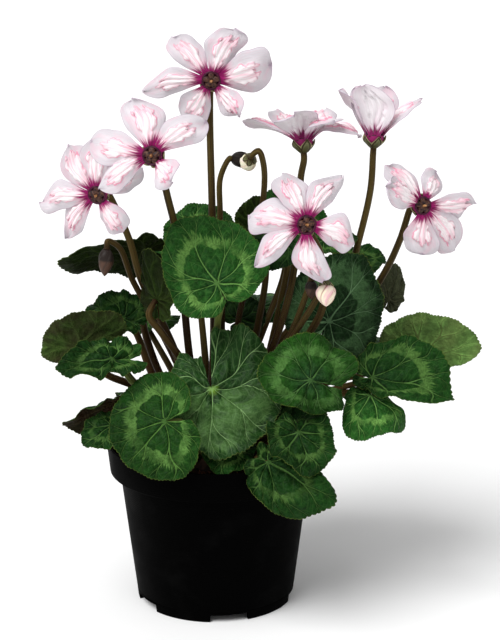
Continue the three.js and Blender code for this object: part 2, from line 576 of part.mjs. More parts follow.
function petalGeometry(shape) {
  const rows = [0, 0.36, 0.72, 1];
  const columns = [-1, 0, 1];
  const points = rows.flatMap((along) => columns.map((across) => petalPoint(shape, along, across)));
  const width = columns.length;
  const triangles = [];
  for (let row = 0; row < rows.length - 1; row += 1) {
    for (let column = 0; column < width - 1; column += 1) {
      const a = row * width + column;
      triangles.push([a, a + width, a + width + 1], [a, a + width + 1, a + 1]);
    }
  }
  const lastRow = (rows.length - 1) * width;
  const border = [];
  for (let row = 0; row < rows.length - 1; row += 1) border.push(row * width);
  for (let column = 0; column < width - 1; column += 1) border.push(lastRow + column);
  for (let row = rows.length - 1; row > 0; row -= 1) border.push(row * width + width - 1);
  for (let column = width - 1; column > 0; column -= 1) border.push(column);
  return sheet(points, triangles.map(([a, b, c]) => [a, c, b]), border.reverse(), PETAL_THICKNESS);
}

function throatGeometry() {
  const inner = THROAT_RADIUS - THROAT_WALL;
  const profile = [
    [0, -THROAT_DEPTH], [THROAT_RADIUS * 0.7, -THROAT_DEPTH], [THROAT_RADIUS, -THROAT_DEPTH * 0.6],
    [THROAT_RADIUS, THROAT_LIP], [inner, THROAT_LIP],
    [inner * 0.8, THROAT_FLOOR - THROAT_DEPTH], [0, THROAT_FLOOR - THROAT_DEPTH],
  ].map(([radius, height]) => new THREE.Vector2(radius, height));
  return new THREE.LatheGeometry(profile, 8).rotateX(Math.PI / 2);
}

function corollaGeometry(flower) {
  return toGeometry(join([throatGeometry(), ...flower.petals.map(petalGeometry)]));
}

// A cup of five pointed lobes round the base of the throat or of a bud's petals.
function calyxGeometry(radius, height) {
  const segments = 10;
  const outer = radius + CALYX_GAP + CALYX_WALL;
  const inner = radius + CALYX_GAP;
  const floor = -height - CALYX_GAP;
  const positions = [0, 0, floor - CALYX_STEM, 0, 0, floor];
  const index = [];
  for (let i = 0; i < segments; i += 1) {
    const turn = (2 * Math.PI * i) / segments;
    const top = -height * (i % 2 ? CALYX_GROOVE : CALYX_LOBE);
    const ring = [
      [outer * CALYX_NECK, floor - CALYX_NECK_HEIGHT], [outer, floor + CALYX_SHOULDER], [outer, top],
      [inner, top], [inner * CALYX_FLOOR, floor],
    ];
    for (const [reach, level] of ring) positions.push(reach * Math.cos(turn), reach * Math.sin(turn), level);
  }
  const corner = (segment, level) => 2 + (segment % segments) * 5 + level;
  for (let i = 0; i < segments; i += 1) {
    index.push(0, corner(i + 1, 0), corner(i, 0));
    for (let level = 0; level < 4; level += 1) {
      const [a, b] = [corner(i, level), corner(i + 1, level)];
      index.push(a, b, b + 1, a, b + 1, a + 1);
    }
    index.push(1, corner(i, 4), corner(i + 1, 4));
  }
  const geometry = new THREE.BufferGeometry();
  geometry.setAttribute('position', new THREE.Float32BufferAttribute(positions, 3));
  geometry.setIndex(index);
  return geometry;
}

function placed(mesh, at, facing) {
  const { right, top, face } = flowerFrame(facing);
  mesh.position.set(...at);
  mesh.quaternion.setFromRotationMatrix(new THREE.Matrix4().makeBasis(right, top, face));
  return mesh;
}

// A stalk rises from the tuber through its own points and ends just behind the calyx.
function stalkPoints(stalk, at, facing, behind, root) {
  const back = vec(facing).normalize().negate();
  const end = vec(at).addScaledVector(back, behind);
  const before = end.clone().addScaledVector(back, STALK_STRAIGHT);
  return [root, ...stalk.map(vec), before, end];
}

// Buds

function budGeometry({ length, radius, shut }) {
  const rings = 5;
  const segments = 8;
  const positions = [0, 0, 0];
  const index = [];
  for (let ring = 1; ring <= rings; ring += 1) {
    const share = ring / (rings + 1);
    const girth = radius * Math.sin(Math.PI * share ** BUD_LEAN) ** BUD_FULLNESS;
    for (let i = 0; i < segments; i += 1) {
      const turn = (2 * Math.PI * i) / segments + BUD_TWIST * share;
      const ridge = girth * (i % 2 ? BUD_FOLD : 1);
      positions.push(ridge * Math.cos(turn), ridge * Math.sin(turn), length * share);
    }
  }
  positions.push(0, 0, length);
  const last = positions.length / 3 - 1;
  const corner = (ring, segment) => 1 + ring * segments + (segment % segments);
  for (let i = 0; i < segments; i += 1) {
    index.push(0, corner(0, i + 1), corner(0, i));
    for (let ring = 0; ring < rings - 1; ring += 1) {
      const [a, b] = [corner(ring, i), corner(ring, i + 1)];
      index.push(a, b, b + segments, a, b + segments, a + segments);
    }
    index.push(last, corner(rings - 1, i), corner(rings - 1, i + 1));
  }
  const geometry = new THREE.BufferGeometry();
  geometry.setAttribute('position', new THREE.Float32BufferAttribute(positions, 3));
  geometry.setIndex(index);
  return shut ? geometry : geometry.translate(0, 0, -BUD_CALYX_HEIGHT);
}

// The whole plant

const STALK_GAP = CLEARANCE + 0.1;
const FLOWER_NECK = THROAT_DEPTH + CALYX_GAP + CALYX_STEM + STALK_GAP;
const BUD_NECK = BUD_CALYX_HEIGHT + CALYX_GAP + CALYX_STEM + STALK_GAP;

function stemsGeometry() {
  const leafRoots = crownRoots(LEAVES.map((leaf) => leaf.via?.[0] ?? leaf.at), PETIOLE_RINGS);
  const stalkRoots = crownRoots([...FLOWERS, ...BUDS].map(({ stalk }) => stalk[0]), STALK_RINGS);
  const tubes = LEAVES.map((leaf, i) => {
    const steps = leaf.via ? BENT_PETIOLE_STEPS : PETIOLE_STEPS;
    return tube(petiolePoints(leaf, leafRoots[i]), PETIOLE_RADIUS, STEM_SIDES, steps);
  });
  FLOWERS.forEach(({ stalk, at, face }, i) => {
    const points = stalkPoints(stalk, at, face, FLOWER_NECK, stalkRoots[i]);
    tubes.push(tube(points, STALK_RADIUS, STEM_SIDES, STALK_STEPS));
  });
  BUDS.forEach(({ stalk, at, point, shut }, i) => {
    const behind = shut ? STALK_GAP : BUD_NECK;
    const points = stalkPoints(stalk, at, point, behind, stalkRoots[FLOWERS.length + i]);
    tubes.push(tube(points, BUD_STALK_RADIUS, STEM_SIDES, STALK_STEPS));
  });
  return toGeometry(outerSkin(join([tuberGeometry(), ...tubes])));
}

const container = new THREE.Group();
container.add(piece('pot', potGeometry(), COLOURS.pot));
container.add(piece('soil', soilGeometry(), COLOURS.soil));

const plant = new THREE.Group();
plant.add(piece('tuber_and_stems', stemsGeometry(), COLOURS.stems));
LEAVES.forEach((leaf, i) => plant.add(leafMesh(leaf, `leaf_${String(i + 1).padStart(2, '0')}`)));
FLOWERS.forEach((flower, i) => {
  const calyx = piece(`flower_${i + 1}_calyx`, calyxGeometry(THROAT_RADIUS, THROAT_DEPTH), COLOURS.calyx);
  const corolla = piece(`flower_${i + 1}_petals`, corollaGeometry(flower), COLOURS.petals);
  plant.add(placed(calyx, flower.at, flower.face), placed(corolla, flower.at, flower.face));
});
BUDS.forEach((bud, i) => {
  const finish = bud.shut ? COLOURS.shutBud : COLOURS.petals;
  plant.add(placed(piece(`bud_${i + 1}`, budGeometry(bud), finish), bud.at, bud.point));
  if (bud.shut) return;
  const calyx = piece(`bud_${i + 1}_calyx`, calyxGeometry(bud.radius, BUD_CALYX_HEIGHT), COLOURS.calyx);
  plant.add(placed(calyx, bud.at, bud.point));
});

const cyclamen = new THREE.Group();
cyclamen.add(container, plant);
const middle = new THREE.Box3().setFromObject(cyclamen, true).getCenter(new THREE.Vector3());
cyclamen.position.set(-middle.x, -middle.y, 0);

export default cyclamen;
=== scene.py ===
import math

import bpy
import numpy as np
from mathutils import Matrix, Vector, noise


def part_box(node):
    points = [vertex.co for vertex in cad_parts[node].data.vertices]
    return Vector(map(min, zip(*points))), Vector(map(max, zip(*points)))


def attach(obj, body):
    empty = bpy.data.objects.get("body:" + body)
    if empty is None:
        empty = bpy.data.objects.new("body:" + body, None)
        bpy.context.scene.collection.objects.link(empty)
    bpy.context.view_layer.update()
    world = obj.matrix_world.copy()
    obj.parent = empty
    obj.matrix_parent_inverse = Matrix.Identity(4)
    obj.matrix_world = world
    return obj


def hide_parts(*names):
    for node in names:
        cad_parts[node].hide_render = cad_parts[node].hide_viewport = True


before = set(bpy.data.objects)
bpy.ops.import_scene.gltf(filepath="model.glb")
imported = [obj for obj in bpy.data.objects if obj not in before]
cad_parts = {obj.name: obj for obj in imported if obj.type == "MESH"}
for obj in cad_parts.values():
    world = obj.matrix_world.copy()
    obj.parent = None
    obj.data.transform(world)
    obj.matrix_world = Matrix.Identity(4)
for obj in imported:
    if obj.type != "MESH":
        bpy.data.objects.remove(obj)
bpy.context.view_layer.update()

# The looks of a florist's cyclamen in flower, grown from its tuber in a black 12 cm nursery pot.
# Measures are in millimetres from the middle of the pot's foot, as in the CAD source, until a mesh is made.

MM = 0.001
POT_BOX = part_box("pot")
POT_AXIS = np.array((POT_BOX[0] + POT_BOX[1]) / 2 / MM)
POT_AXIS[2] = 0

# Pot
RIM_RADIUS = 60.0
POT_HEIGHT = 91.0
COLLAR_FOOT = 74.5
COLLAR_LOW_RADIUS = 58.2
SHOULDER_RADIUS = 52.8
SHOULDER_DROP = 0.6
FOOT_RADIUS = 43.8
FOOT_DRAFT = 0.1
POT_WALL = 1.5
POT_EDGE = 0.5
POT_SHARP_ANGLE = 35
POT_SEGMENTS = 180
AXIS_RADIUS = 0.01
FOOT_RING = 4.0
FOOT_RING_WIDTH = 3.0
FOOT_RING_SLOPE = 0.4
FOOT_NOTCHES = 5
NOTCH_WIDTH = 21.0
NOTCH_REACH = 5.0
NOTCH_FIRST_ANGLE = -79.0
NOTCH_HEIGHTS = (-4.3, FOOT_RING + 0.3)
DRAIN_RADIUS = 4.0
DRAIN_CIRCLE = 27.0
DRAIN_HEIGHTS = (-3, 10)
DRAIN_SIDES = 32

# The fine groove above the foot: how far out from the foot's radius, and how high.
FOOT_GROOVE = ((0.45, 5.0), (0.1, 5.6), (0.6, 6.2))

# Peat
SOIL_TOP = 79.0
SOIL_FLOOR = 5.8
SOIL_RELIEF = 1.3
SOIL_RINGS = 44
SOIL_SIDE_GAP = 0.6
SOIL_FLOOR_GAP = 0.2
CROWN_DIP = 6.0
CROWN_DIP_SPREAD = 16.0
CRUMB_HEIGHT = 0.8
CRUMBS_PER_MM = 0.35
FIBRES = 260
FIBRE_SEED = 7
FIBRE_POINTS = 7
FIBRE_SIDES = 4
FIBRE_EDGE_GAP = 3.0

# Tuber and stems. The stems stand in rings on the tuber's crown. The radii of each kind are at its
# root, at its head, and how much it widens at its very end.
TUBER_RADIUS = 22.0
TUBER_HALF_HEIGHT = 14.0
TUBER_CENTRE = 72.0
TUBER_SKIN = 0.98
STEM_SINK = 3.0
STEM_FLARE_START = 0.96
PETIOLE_RINGS = (14.5, 11.5, 8.5)
PETIOLE_RADII = (2.45, 1.55, 0.0)
PETIOLE_SIDES = 12
PETIOLE_STEPS = 10
PETIOLE_GAP = 1.5
PETIOLE_STRAIGHT = 9.0
PETIOLE_RISE = 0.35
PETIOLE_LEAN = 0.02
PETIOLE_SWEEP = 0.8
STALK_RINGS = (5.8, 2.6)
STALK_RADII = (2.2, 1.7, 0.5)
STALK_SIDES = 14
STALK_STEPS = 14
STALK_STRAIGHT = 4.0
BUD_STALK_RADII = (1.8, 1.5, 0.4)
BUD_STALK_SIDES = 12

# Each stem has a number, which gives it its own streaks and tone. A number that ends in the green mark
# makes it green.
FIRST_STALK_NUMBER = 50
FIRST_BUD_STALK_NUMBER = 60
GREEN_MARK = 0.5
GREEN_PETIOLES = (1, 14, 20, 21, 30)

# Leaves. Those shorter than a large leaf have fewer teeth. Each leaf's seed is its number times the leaf
# seed, and the painted side shade is how much one side of a blade is painted lighter and the other darker, as
# if light fell on it from one side.
LEAF_THICKNESS = 0.6
LARGE_LEAF = 26.0
LEAF_SEED = 1.7
PAINTED_SIDE_SHADE = 0.3
SINUS_HALF_ANGLE = 0.04
SINUS_DEPTH = 0.3
SINUS_SPREAD = 0.35
TIP_LENGTH = 0.04
TIP_SPREAD = 0.2
TEETH = 96
TOOTH = 0.011
TOOTH_ROOT = 0.965
MARGIN_START = 0.8
MARGIN_WAVES = 5
FOLD_ROUNDING = 0.15
LOBE_START = 1.2
LOBE_END = 2.4

# The uneven margin: each wave's size as a share of the radius, its count round the blade, its shift.
UNEVEN_MARGIN = ((0.011, 7, 1), (0.009, 13, -2), (0.005, 31, 3))

# How a blade's mesh is cut: the steps round each ring, and how far out the ring is.
LEAF_RINGS = (
    [(60, 0.07 * i) for i in range(1, 4)]
    + [(120, 0.215 + 0.065 * i) for i in range(1, 7)]
    + [(240, 0.605 + 0.05 * i) for i in range(1, 8)]
    + [(480, 0.985), (480, 1.0)]
)

# Veins: their spacing in radians round the stalk's end, how they sweep forward, and the two places
# along a blade, as shares of its radius, between which each one forks, and forks again.
VEIN_SPACING = 0.78
VEIN_SWEEP = 0.12
FORK_SPREAD = 0.26
FORK_UNEVEN = 0.1
FORK_START = 0.38
FORK_END = 0.95
SECOND_FORK_START = 0.68
SECOND_FORK_END = 1.1

# The veins' sways: each one's size in spacings, its waves round the blade and along it, its shift.
VEIN_SWAYS = ((0.13, 2.7, 3.3, 1), (0.07, 6, -5, 2))

# Quilting: the valleys along the veins, the ribs between them, the swelling and the rippled margin.
VALLEY_DEPTH = 0.95
VALLEY_WIDTH = 1.3
RIB_HEIGHT = 0.4
RIB_STEP = 7.0
RIB_SLANT = 1.1
SWELL = 1.4
RIPPLE = 0.7

# Petals. Their shape runs from 0 at the root to 1 at the tip.
PETAL_THICKNESS = 0.55
PETAL_ROOT = 4.5
PETAL_SINK = 0.5
PETAL_ROOT_WIDTH = 0.28
PETAL_TIP_WIDTH = 0.03
PETAL_BROAD = 0.62
PETAL_CUP = 0.16
PETAL_TIP_ROLL = 1.0
PETAL_TIP_UNEVEN = 0.03
PETAL_SIDE_UNEVEN = 0.08
RUFFLE = 0.8
PETAL_ROWS = 44
PETAL_COLUMNS = 32
CREST_HEIGHT = 1.9
CREST_END = 0.76
CREST_WIDTH = 0.28
CREST_WIDENING = 0.17

# The flower's mouth and its five anthers
THROAT_RADIUS = 5.2
THROAT_DEPTH = 5.0
ANTHERS = 5
ANTHER_FIRST_ANGLE = 18
ANTHER_PLACE = 2.9
ANTHER_DEPTH = 0.3
ANTHER_SLOPE = 0.35
ANTHER_SIZE = (5.2, 3.5, 2.2)
STYLE_SIZE = (4.0, 1.7, 1.5)

# Calyx
CALYX_GAP = 0.35
CALYX_WALL = 1.0
CALYX_FOOT = 1.2
CALYX_COLUMNS = 80
CALYX_LEVELS = 12
CALYX_TIP = 0.06
CALYX_CUT = 0.8
CALYX_NECK = 0.36
CALYX_NECK_DROP = 0.8
CALYX_SHOULDER = 0.75
CALYX_LIP = 0.55
CALYX_FLOOR = 0.45
NECK = 1.6
FLOWER_NECK = THROAT_DEPTH + CALYX_GAP + NECK
FLOWER_LOBE = 0.9

# Buds
BUD_CALYX_HEIGHT = 3.2
BUD_NECK = BUD_CALYX_HEIGHT + CALYX_GAP + NECK
SHUT_BUD_NECK = -0.4
BUD_WAIST = 0.52
BUD_LOBE = 0.4
BUD_ROWS = 34
BUD_COLUMNS = 60
BUD_TWIST = 1.6
BUD_LEAN = 0.75
BUD_FULLNESS = 0.7

# Each leaf: where its stalk meets the blade, its tip, the side its upper face looks to, its width to
# the left and to the right of the midrib, its rear lobes as a share of its length, how far ahead of
# the stalk it is widest, how pointed it is, and how it bends: curl, roll, fold, wave and lobes.
# A stalk that winds round its neighbours has points of its own. A notch that is wider than most has its
# own half angle, as sinus, and a blade that is more puckered than most has a larger quilt.
LEAVES = [
    dict(at=[2, -26, 186], tip=[-18, -12, 216], face=[0.1, -0.9, 0.42], half=[25, 31], back=0.42,
         curl=0.3, wave=0.05, via=[[2, -4, 130], [2, -9, 160]]),
    dict(at=[-30, -14, 174], tip=[-35, -12, 201], face=[0.69, 0.72, 0.06], half=[13, 13], back=0.5,
         curl=0.3, via=[[-14, -6, 130], [-28, -16, 156]]),
    dict(at=[-40, 22, 193], tip=[-83, 4, 190], face=[-0.15, 0.66, 0.74], half=[18, 30], back=0.35,
         pinch=0.2, curl=0.3, via=[[-34, 30, 125], [-42, 34, 160]]),
    dict(at=[-8, 34, 195], tip=[-16, 46, 213], face=[-0.2, -0.75, 0.6], half=[22, 22], back=0.6),
    dict(at=[25, 34, 202], tip=[22, 40, 219], face=[-0.3, 0.85, 0.4], half=[15, 15], back=0.7),
    dict(at=[42, 48, 198], tip=[38, 60, 222], face=[0, -0.8, 0.6], half=[23, 23], back=0.5),
    dict(at=[62, 33, 197], tip=[79, 38, 199], face=[0.15, -0.35, 0.93], half=[7, 13], back=0.6, wave=0.08,
         via=[[38, 30, 125], [54, 34, 168]]),
    dict(at=[80, 60, 178], tip=[97, 64, 180], face=[0.15, -0.45, 0.88], half=[14, 13], back=0.6,
         wave=0.1),
    dict(at=[63, 5, 157], tip=[82, 26, 187], face=[0.3, -0.85, 0.42], half=[29, 28], back=0.5,
         curl=0.3, quilt=1.4),
    dict(at=[115, 12, 135], tip=[146, 5, 142], face=[0.21, 0.95, 0.1], half=[10, 26], back=0.8, roll=0.2),
    dict(at=[86, -16, 131], tip=[128, -22, 123], face=[0, -0.6, 0.8], half=[25, 15], back=0.3, ahead=0.4,
         fold=0.4, curl=0.2, wave=0.1, quilt=1.4),
    dict(at=[51, -45, 138], tip=[25, -45, 142], face=[-0.1, -0.85, 0.5], half=[17, 25], back=1.05,
         curl=0.3, wave=0.28, via=[[23, -18, 110], [43, -30, 129]], quilt=1.6),
    dict(at=[-1, -28, 128], tip=[5, -54, 99], face=[0.05, -0.78, 0.62], half=[38, 24], back=0.7, curl=0.4,
         lobes=[0.5, 0.2], sinus=0.14, quilt=2.2),
    dict(at=[-25, -56, 119], tip=[-53, -54, 110], face=[-0.25, -0.85, 0.5], half=[31, 31], back=0.6,
         roll=0.5, sinus=0.2, via=[[-34, -38, 104]]),
    dict(at=[45, -53, 112], tip=[51, -68, 94], face=[0.23, -0.72, 0.65], half=[19, 18], back=0.6,
         curl=0.4, wave=0.16, via=[[30, -42, 98]], quilt=1.5),
    dict(at=[29, -57, 97], tip=[62, -67, 79], face=[0.05, -0.85, 0.5], half=[12, 21], back=0.3,
         ahead=0.35, curl=0.3, wave=0.28, via=[[29, -34, 95]], quilt=1.8),
    dict(at=[84, -26, 124], tip=[73, -40, 105], face=[0, -0.82, 0.57], half=[28, 15], back=0.3, curl=0.6,
         roll=1, pinch=0.15),
    dict(at=[-73, -8, 146], tip=[-93, -12, 144], face=[-0.15, 0.95, 0.24], half=[25, 9], back=1.6,
         roll=0.4, via=[[-38, -2, 118], [-60, -15, 134]]),
    dict(at=[-51, 12, 157], tip=[-71, 20, 161], face=[-0.09, -0.58, 0.81], half=[11, 17], back=0.75,
         roll=-0.5, via=[[-36, 10, 128]], quilt=1.8),
    dict(at=[-54, -31, 146], tip=[-81, -36, 141], face=[-0.03, -0.52, 0.85], half=[14, 13], back=0.8,
         fold=0.3, curl=0.4, via=[[-32, -22, 118], [-46, -27, 136]], quilt=1.8),
    dict(at=[-55, -16, 117], tip=[-81, -24, 107], face=[-0.46, 0.66, 0.59], half=[14, 17], back=0.4,
         roll=0.8),
    dict(at=[-54, -38, 111], tip=[-68, -46, 103], face=[-0.25, -0.5, 0.83], half=[14, 14], back=0.5,
         curl=0.4),
    dict(at=[8, -38, 100], tip=[4, -52, 89], face=[0, -0.7, 0.7], half=[15, 14], back=0.6, curl=0.3),
    dict(at=[42, -26, 106], tip=[58, -18, 123], face=[0.2, -0.85, 0.5], half=[14, 14], back=0.3,
         curl=0.3),
    dict(at=[99, 50, 158], tip=[104, 56, 177], face=[0.5, -0.6, 0.6], half=[11, 9], back=0.4, curl=0.3),
    dict(at=[14, 24, 153], tip=[27, 28, 159], face=[0.1, -0.75, 0.65], half=[15, 13], back=0.6),
    dict(at=[37, 0, 206], tip=[29, -7, 190], face=[-0.1, -0.85, 0.5], half=[15, 15], back=0.6, curl=0.4),
    dict(at=[-42, 60, 144], tip=[-66, 86, 143], face=[-0.35, 0.45, 0.8], half=[25, 25], back=0.4,
         curl=0.5, wave=0.08),
    dict(at=[-12, 58, 178], tip=[-20, 92, 182], face=[-0.1, 0.45, 0.88], half=[28, 28], back=0.5,
         curl=0.5, wave=0.06),
    dict(at=[22, 66, 150], tip=[30, 102, 148], face=[0.1, 0.5, 0.85], half=[25, 25], back=0.4, curl=0.5,
         wave=0.08, via=[[22, 38, 110]]),
    dict(at=[84, 56, 130], tip=[112, 72, 124], face=[0.4, 0.3, 0.85], half=[24, 24], back=0.5, curl=0.4),
    dict(at=[2, 54, 106], tip=[0, 88, 94], face=[0, 0.6, 0.8], half=[20, 22], back=0.35, curl=0.6,
         wave=0.08),
    dict(at=[-36, 44, 106], tip=[-50, 68, 94], face=[-0.3, 0.55, 0.8], half=[20, 20], back=0.4, curl=0.5),
    dict(at=[62, 52, 103], tip=[88, 74, 88], face=[0.4, 0.4, 0.8], half=[21, 21], back=0.35, curl=0.5),
]


def petal(angle, length, width, lift, bend, twist=0.3, sweep=0.0, sharp=0.0, corner=0.0, ruffle=1.0):
    """A petal: its clock angle, length, width, lift at the root, bend to the tip, twist and sweep.

    Its tip is blunt or pointed as sharp goes from -1 to 1, and its point lies to a side by the corner.
    """
    return dict(angle=angle, length=length, width=width, lift=lift, bend=bend, twist=twist, sweep=sweep,
                sharp=sharp, corner=corner, ruffle=ruffle)


# Each flower: the middle of its mouth, the way it faces, its stalk's way up from the tuber, its petals.
FLOWERS = [
    dict(at=[-1, 0, 289.5], face=[0.05, -0.97, -0.12], stalk=[[0, 8, 150], [-1, 10, 215], [-2, 10, 270]],
         petals=[petal(274, 31, 15, 0.1, -0.3, 0.3, 0.15, 0.8, 0.5),
                 petal(322, 26, 16, -0.2, -0.2, 0.5, 0, -0.5, 0.3),
                 petal(18, 25, 19, 0, -0.3, 0.2, 0, -0.8, -0.4),
                 petal(78, 28, 24, 0.1, -0.3, 0.3, 0, -0.8, 0.1),
                 petal(139, 20, 14, 0.5, -0.2, 0.6, 0, 0.3, 0, 1.7),
                 petal(212, 21, 18, 0.1, -0.3, 0.3, 0, -0.4)]),
    dict(at=[-30.5, -44, 257], face=[-0.2, -0.95, 0.1], stalk=[[-14, 2, 140], [-19, 0, 200], [-24, -22, 233]],
         petals=[petal(347, 26, 22, 0, -0.3, 0.2, 0, 0.5, 0.5), petal(42, 27, 18, 0, -0.3, 0.3, -0.3, 0.4),
                 petal(133, 17, 18, 0.8, -0.3), petal(251, 27, 18, 0.2, -0.3, 0.3, 0.3, 0.8),
                 petal(280, 29, 19, 0.1, -0.3)]),
    dict(at=[-61, -20, 232], face=[-0.3, -0.92, -0.15],
         stalk=[[-22, 1, 142], [-30, 2, 160], [-40, 2, 182], [-46, 0, 205]],
         petals=[petal(322, 25, 19, 0, -0.3, 0.4, 0, 0.5, -0.4),
                 petal(3, 27, 20, 0, -0.4, 0.3, 0, -0.3, -0.5), petal(60, 24, 17, -0.5, -0.3),
                 petal(146, 19, 18, 0.2, -0.3, 0.3, 0, -0.6),
                 petal(234, 27, 15, 0.1, -0.3, 0.3, 0.35, 0.9),
                 petal(267, 29, 16, 0.1, -0.3, 0.5, 0, 0.2, 0.6)]),
    dict(at=[48, 10, 257], face=[-0.05, 0.2, 0.97],
         stalk=[[22, 0, 120], [37, -4, 160], [44, 5, 190], [47, 11, 236]],
         petals=[petal(32, 29, 20, 1.1, -0.9, 0.2, 0, 0.2), petal(97, 31, 20, 0.95, -1.9, 0.3, 0, 0.5),
                 petal(140, 25, 21, 1.15, -1.6, 0.3, 0, -0.2),
                 petal(192, 23, 24, 1.35, -1.4, 0.2, 0, -0.4), petal(276, 30, 18, 0.8, -0.8, 0.3, 0, 0.8),
                 petal(328, 28, 19, 1.0, -0.6, 0.2, 0, 0.4)]),
    dict(at=[87, 20, 258], face=[0.05, 0, 1],
         stalk=[[38, 26, 128], [72, 34, 164], [80, 44, 190], [86, 30, 225]],
         petals=[petal(20, 27, 18, 1.35, -0.3, 0.2, 0, 0.4), petal(90, 29, 19, 1.2, -0.8, 0.2, 0, 0.9),
                 petal(185, 28.5, 22, 1.5, -0.2, 0.1, 0, 0.2, -0.6),
                 petal(265, 29, 19, 1.35, -0.7, 0.2, 0, 0.9), petal(320, 27, 18, 1.3, -0.3, 0.2, 0, 0.4)]),
    dict(at=[48.5, -48, 222], face=[0.15, -0.97, 0.15],
         stalk=[[30, -10, 125], [58, -24, 172], [56, -32, 204]],
         petals=[petal(340, 24, 17, 0, -0.3, 0.3, 0, -0.8, 0.2),
                 petal(24, 26, 16, 0, -0.3, 0.3, -0.2, 0.8, -0.4),
                 petal(103, 22, 19, 0.1, -0.3, 0.3, 0, 0.5, -0.5),
                 petal(182, 25, 18, 0.1, -0.3, 0.3, 0.15, 0.4, 0.6),
                 petal(247, 28, 14, 0.1, -0.3, 0.3, 0.3, 0.8),
                 petal(286, 25, 19, 0, -0.3, 0.4, 0, -0.8, 0.3)]),
    dict(at=[113, 5, 221.5], face=[0.45, -0.88, 0.1],
         stalk=[[46, 30, 120], [78, 38, 150], [94, 33, 176], [102, 18, 200]],
         petals=[petal(326, 26, 18, 0, -0.2, 0.6, 0, 0.3, 0.4, 1.6),
                 petal(297, 25, 17, 0.4, -0.3, 0.6, 0, 0.2, 0, 1.6),
                 petal(33, 16, 16, 0, -0.4, 0.3, 0, -0.4), petal(97, 31, 15, 0, -0.2, 0.3, 0, 0.6, 0.3),
                 petal(134, 29, 19, 0, -0.2, 0.3, 0, -0.5, -0.4),
                 petal(187, 22, 20, 0.1, -0.3, 0.3, 0, -0.6, 0.3)]),
]

# Each bud: the end of its calyx, the way it points, its length and radius, and its stalk.
BUDS = [
    dict(at=[19, 5, 246], point=[-0.2, 0.85, -0.5], length=13, radius=4.8, shut=False,
         stalk=[[12, 10, 150], [25.5, 9, 215], [27, 0, 243], [24, -5, 253]]),
    dict(at=[59, -41, 186], point=[0, -0.45, -0.9], length=12, radius=5.4, shut=False,
         stalk=[[24, -8, 120], [42, -26, 156], [57, -32, 184], [60, -33, 195]]),
    dict(at=[9, 24, 244], point=[1, 0.2, -0.15], length=15, radius=4.6, shut=True,
         straight=1.0,
         stalk=[[4, 14, 150], [3, 21, 215], [3.4, 22.5, 234]]),
    dict(at=[52, -24, 187], point=[0, -0.2, -1], length=10, radius=3.6, shut=True,
         stalk=[[24, -6, 120], [42, -13, 156], [50, -14, 178], [53, -18, 190]]),
    dict(at=[-56, -22, 204], point=[-0.1, -0.1, -1], length=15, radius=4.2, shut=True,
         stalk=[[-20, 6, 130], [-34, 5, 160], [-44, -3, 182], [-50, -16, 203]]),
]

# Camera: its place, tilt in degrees, lens and sensor; its reach alone is in metres.
CAMERA_PLACE = (19.5, -950.0, 410.0)
CAMERA_TILT = 75.2
CAMERA_LENS = 101.25
CAMERA_SENSOR = 36
CAMERA_REACH = 100


def rgb(red, green, blue):
    """A screen colour, 0 to 255, as the linear colour that a shader takes."""
    parts = [value / 255 for value in (red, green, blue)]
    return [p / 12.92 if p < 0.04045 else ((p + 0.055) / 1.055) ** 2.4 for p in parts] + [1.0]


# Leaf colours
MARGIN_GREEN = rgb(86, 100, 42)

# The looks of the upper face: base, middle, silver band and veins, then the band's strength and limits,
# how far the middle reaches, the gap in the band behind the stalk, the gloss and the small cushions' rise.
DARK = dict(base=rgb(22, 56, 17), middle=rgb(20, 51, 19), silver=rgb(88, 126, 60), vein=rgb(92, 134, 66),
            strength=0.9, inner=0.57, outer=0.71)
LIGHT = dict(base=rgb(22, 56, 15), middle=rgb(24, 58, 18), silver=rgb(98, 140, 68), vein=rgb(92, 136, 62),
             strength=0.95, inner=0.52, outer=0.72)
SILVERY = dict(base=rgb(19, 48, 12), middle=rgb(96, 134, 24), silver=rgb(72, 106, 54),
               vein=rgb(130, 168, 106), strength=0.95, inner=0.2, outer=0.86, fan=1.0, heart=0.14, gloss=0.12,
               puff=0.05)
BLUISH = dict(base=rgb(24, 58, 14), middle=rgb(25, 54, 25), silver=rgb(76, 116, 56), vein=rgb(82, 122, 64),
              strength=0.8, inner=0.58, outer=0.8, heart=0.6)
DIM = dict(base=rgb(12, 34, 9), middle=rgb(11, 31, 10), silver=rgb(46, 76, 32), vein=rgb(48, 78, 34),
           strength=0.6, inner=0.55, outer=0.72)
COLD = dict(base=rgb(14, 36, 12), middle=rgb(15, 38, 15), silver=rgb(64, 96, 58), vein=rgb(98, 132, 92),
            strength=0.85, inner=0.5, outer=0.86, gloss=0.06)
GREY = dict(base=rgb(50, 54, 36), middle=rgb(54, 58, 40), silver=rgb(62, 66, 46), vein=rgb(72, 74, 52),
            strength=0.3, inner=0.5, outer=0.8)
UPPER_LOOKS = {9: COLD, 12: BLUISH, 13: SILVERY, 14: LIGHT, 24: DIM, 25: GREY, 26: DIM, 27: DIM}

# How bright a leaf is beside its look: painted light and shade, brighter for leaves that stand in the light
# and darker for those that stand in the shade.
PAINTED_LIGHT_TONES = {1: 1.45, 11: 0.78, 12: 0.95, 13: 1.15, 14: 0.85, 15: 0.68, 16: 0.68, 17: 1.5, 19: 0.5,
         20: 0.7, 22: 0.65}

# The looks of the under face: base, flush and how much of it, veins.
OLIVE = dict(base=rgb(26, 40, 9), flush=rgb(28, 27, 11), amount=0.5, vein=rgb(46, 62, 22))
PALE = dict(base=rgb(88, 120, 60), flush=rgb(96, 108, 60), amount=0.4, vein=rgb(78, 94, 48))
MAROON = dict(base=rgb(36, 34, 16), flush=rgb(44, 24, 16), amount=0.7, vein=rgb(58, 48, 26))
BLOTCHED = dict(base=rgb(58, 80, 34), flush=rgb(52, 40, 30), amount=0.6, vein=rgb(72, 92, 44))
UNDER_LOOKS = {10: PALE, 18: BLOTCHED, 20: MAROON, 21: MAROON}

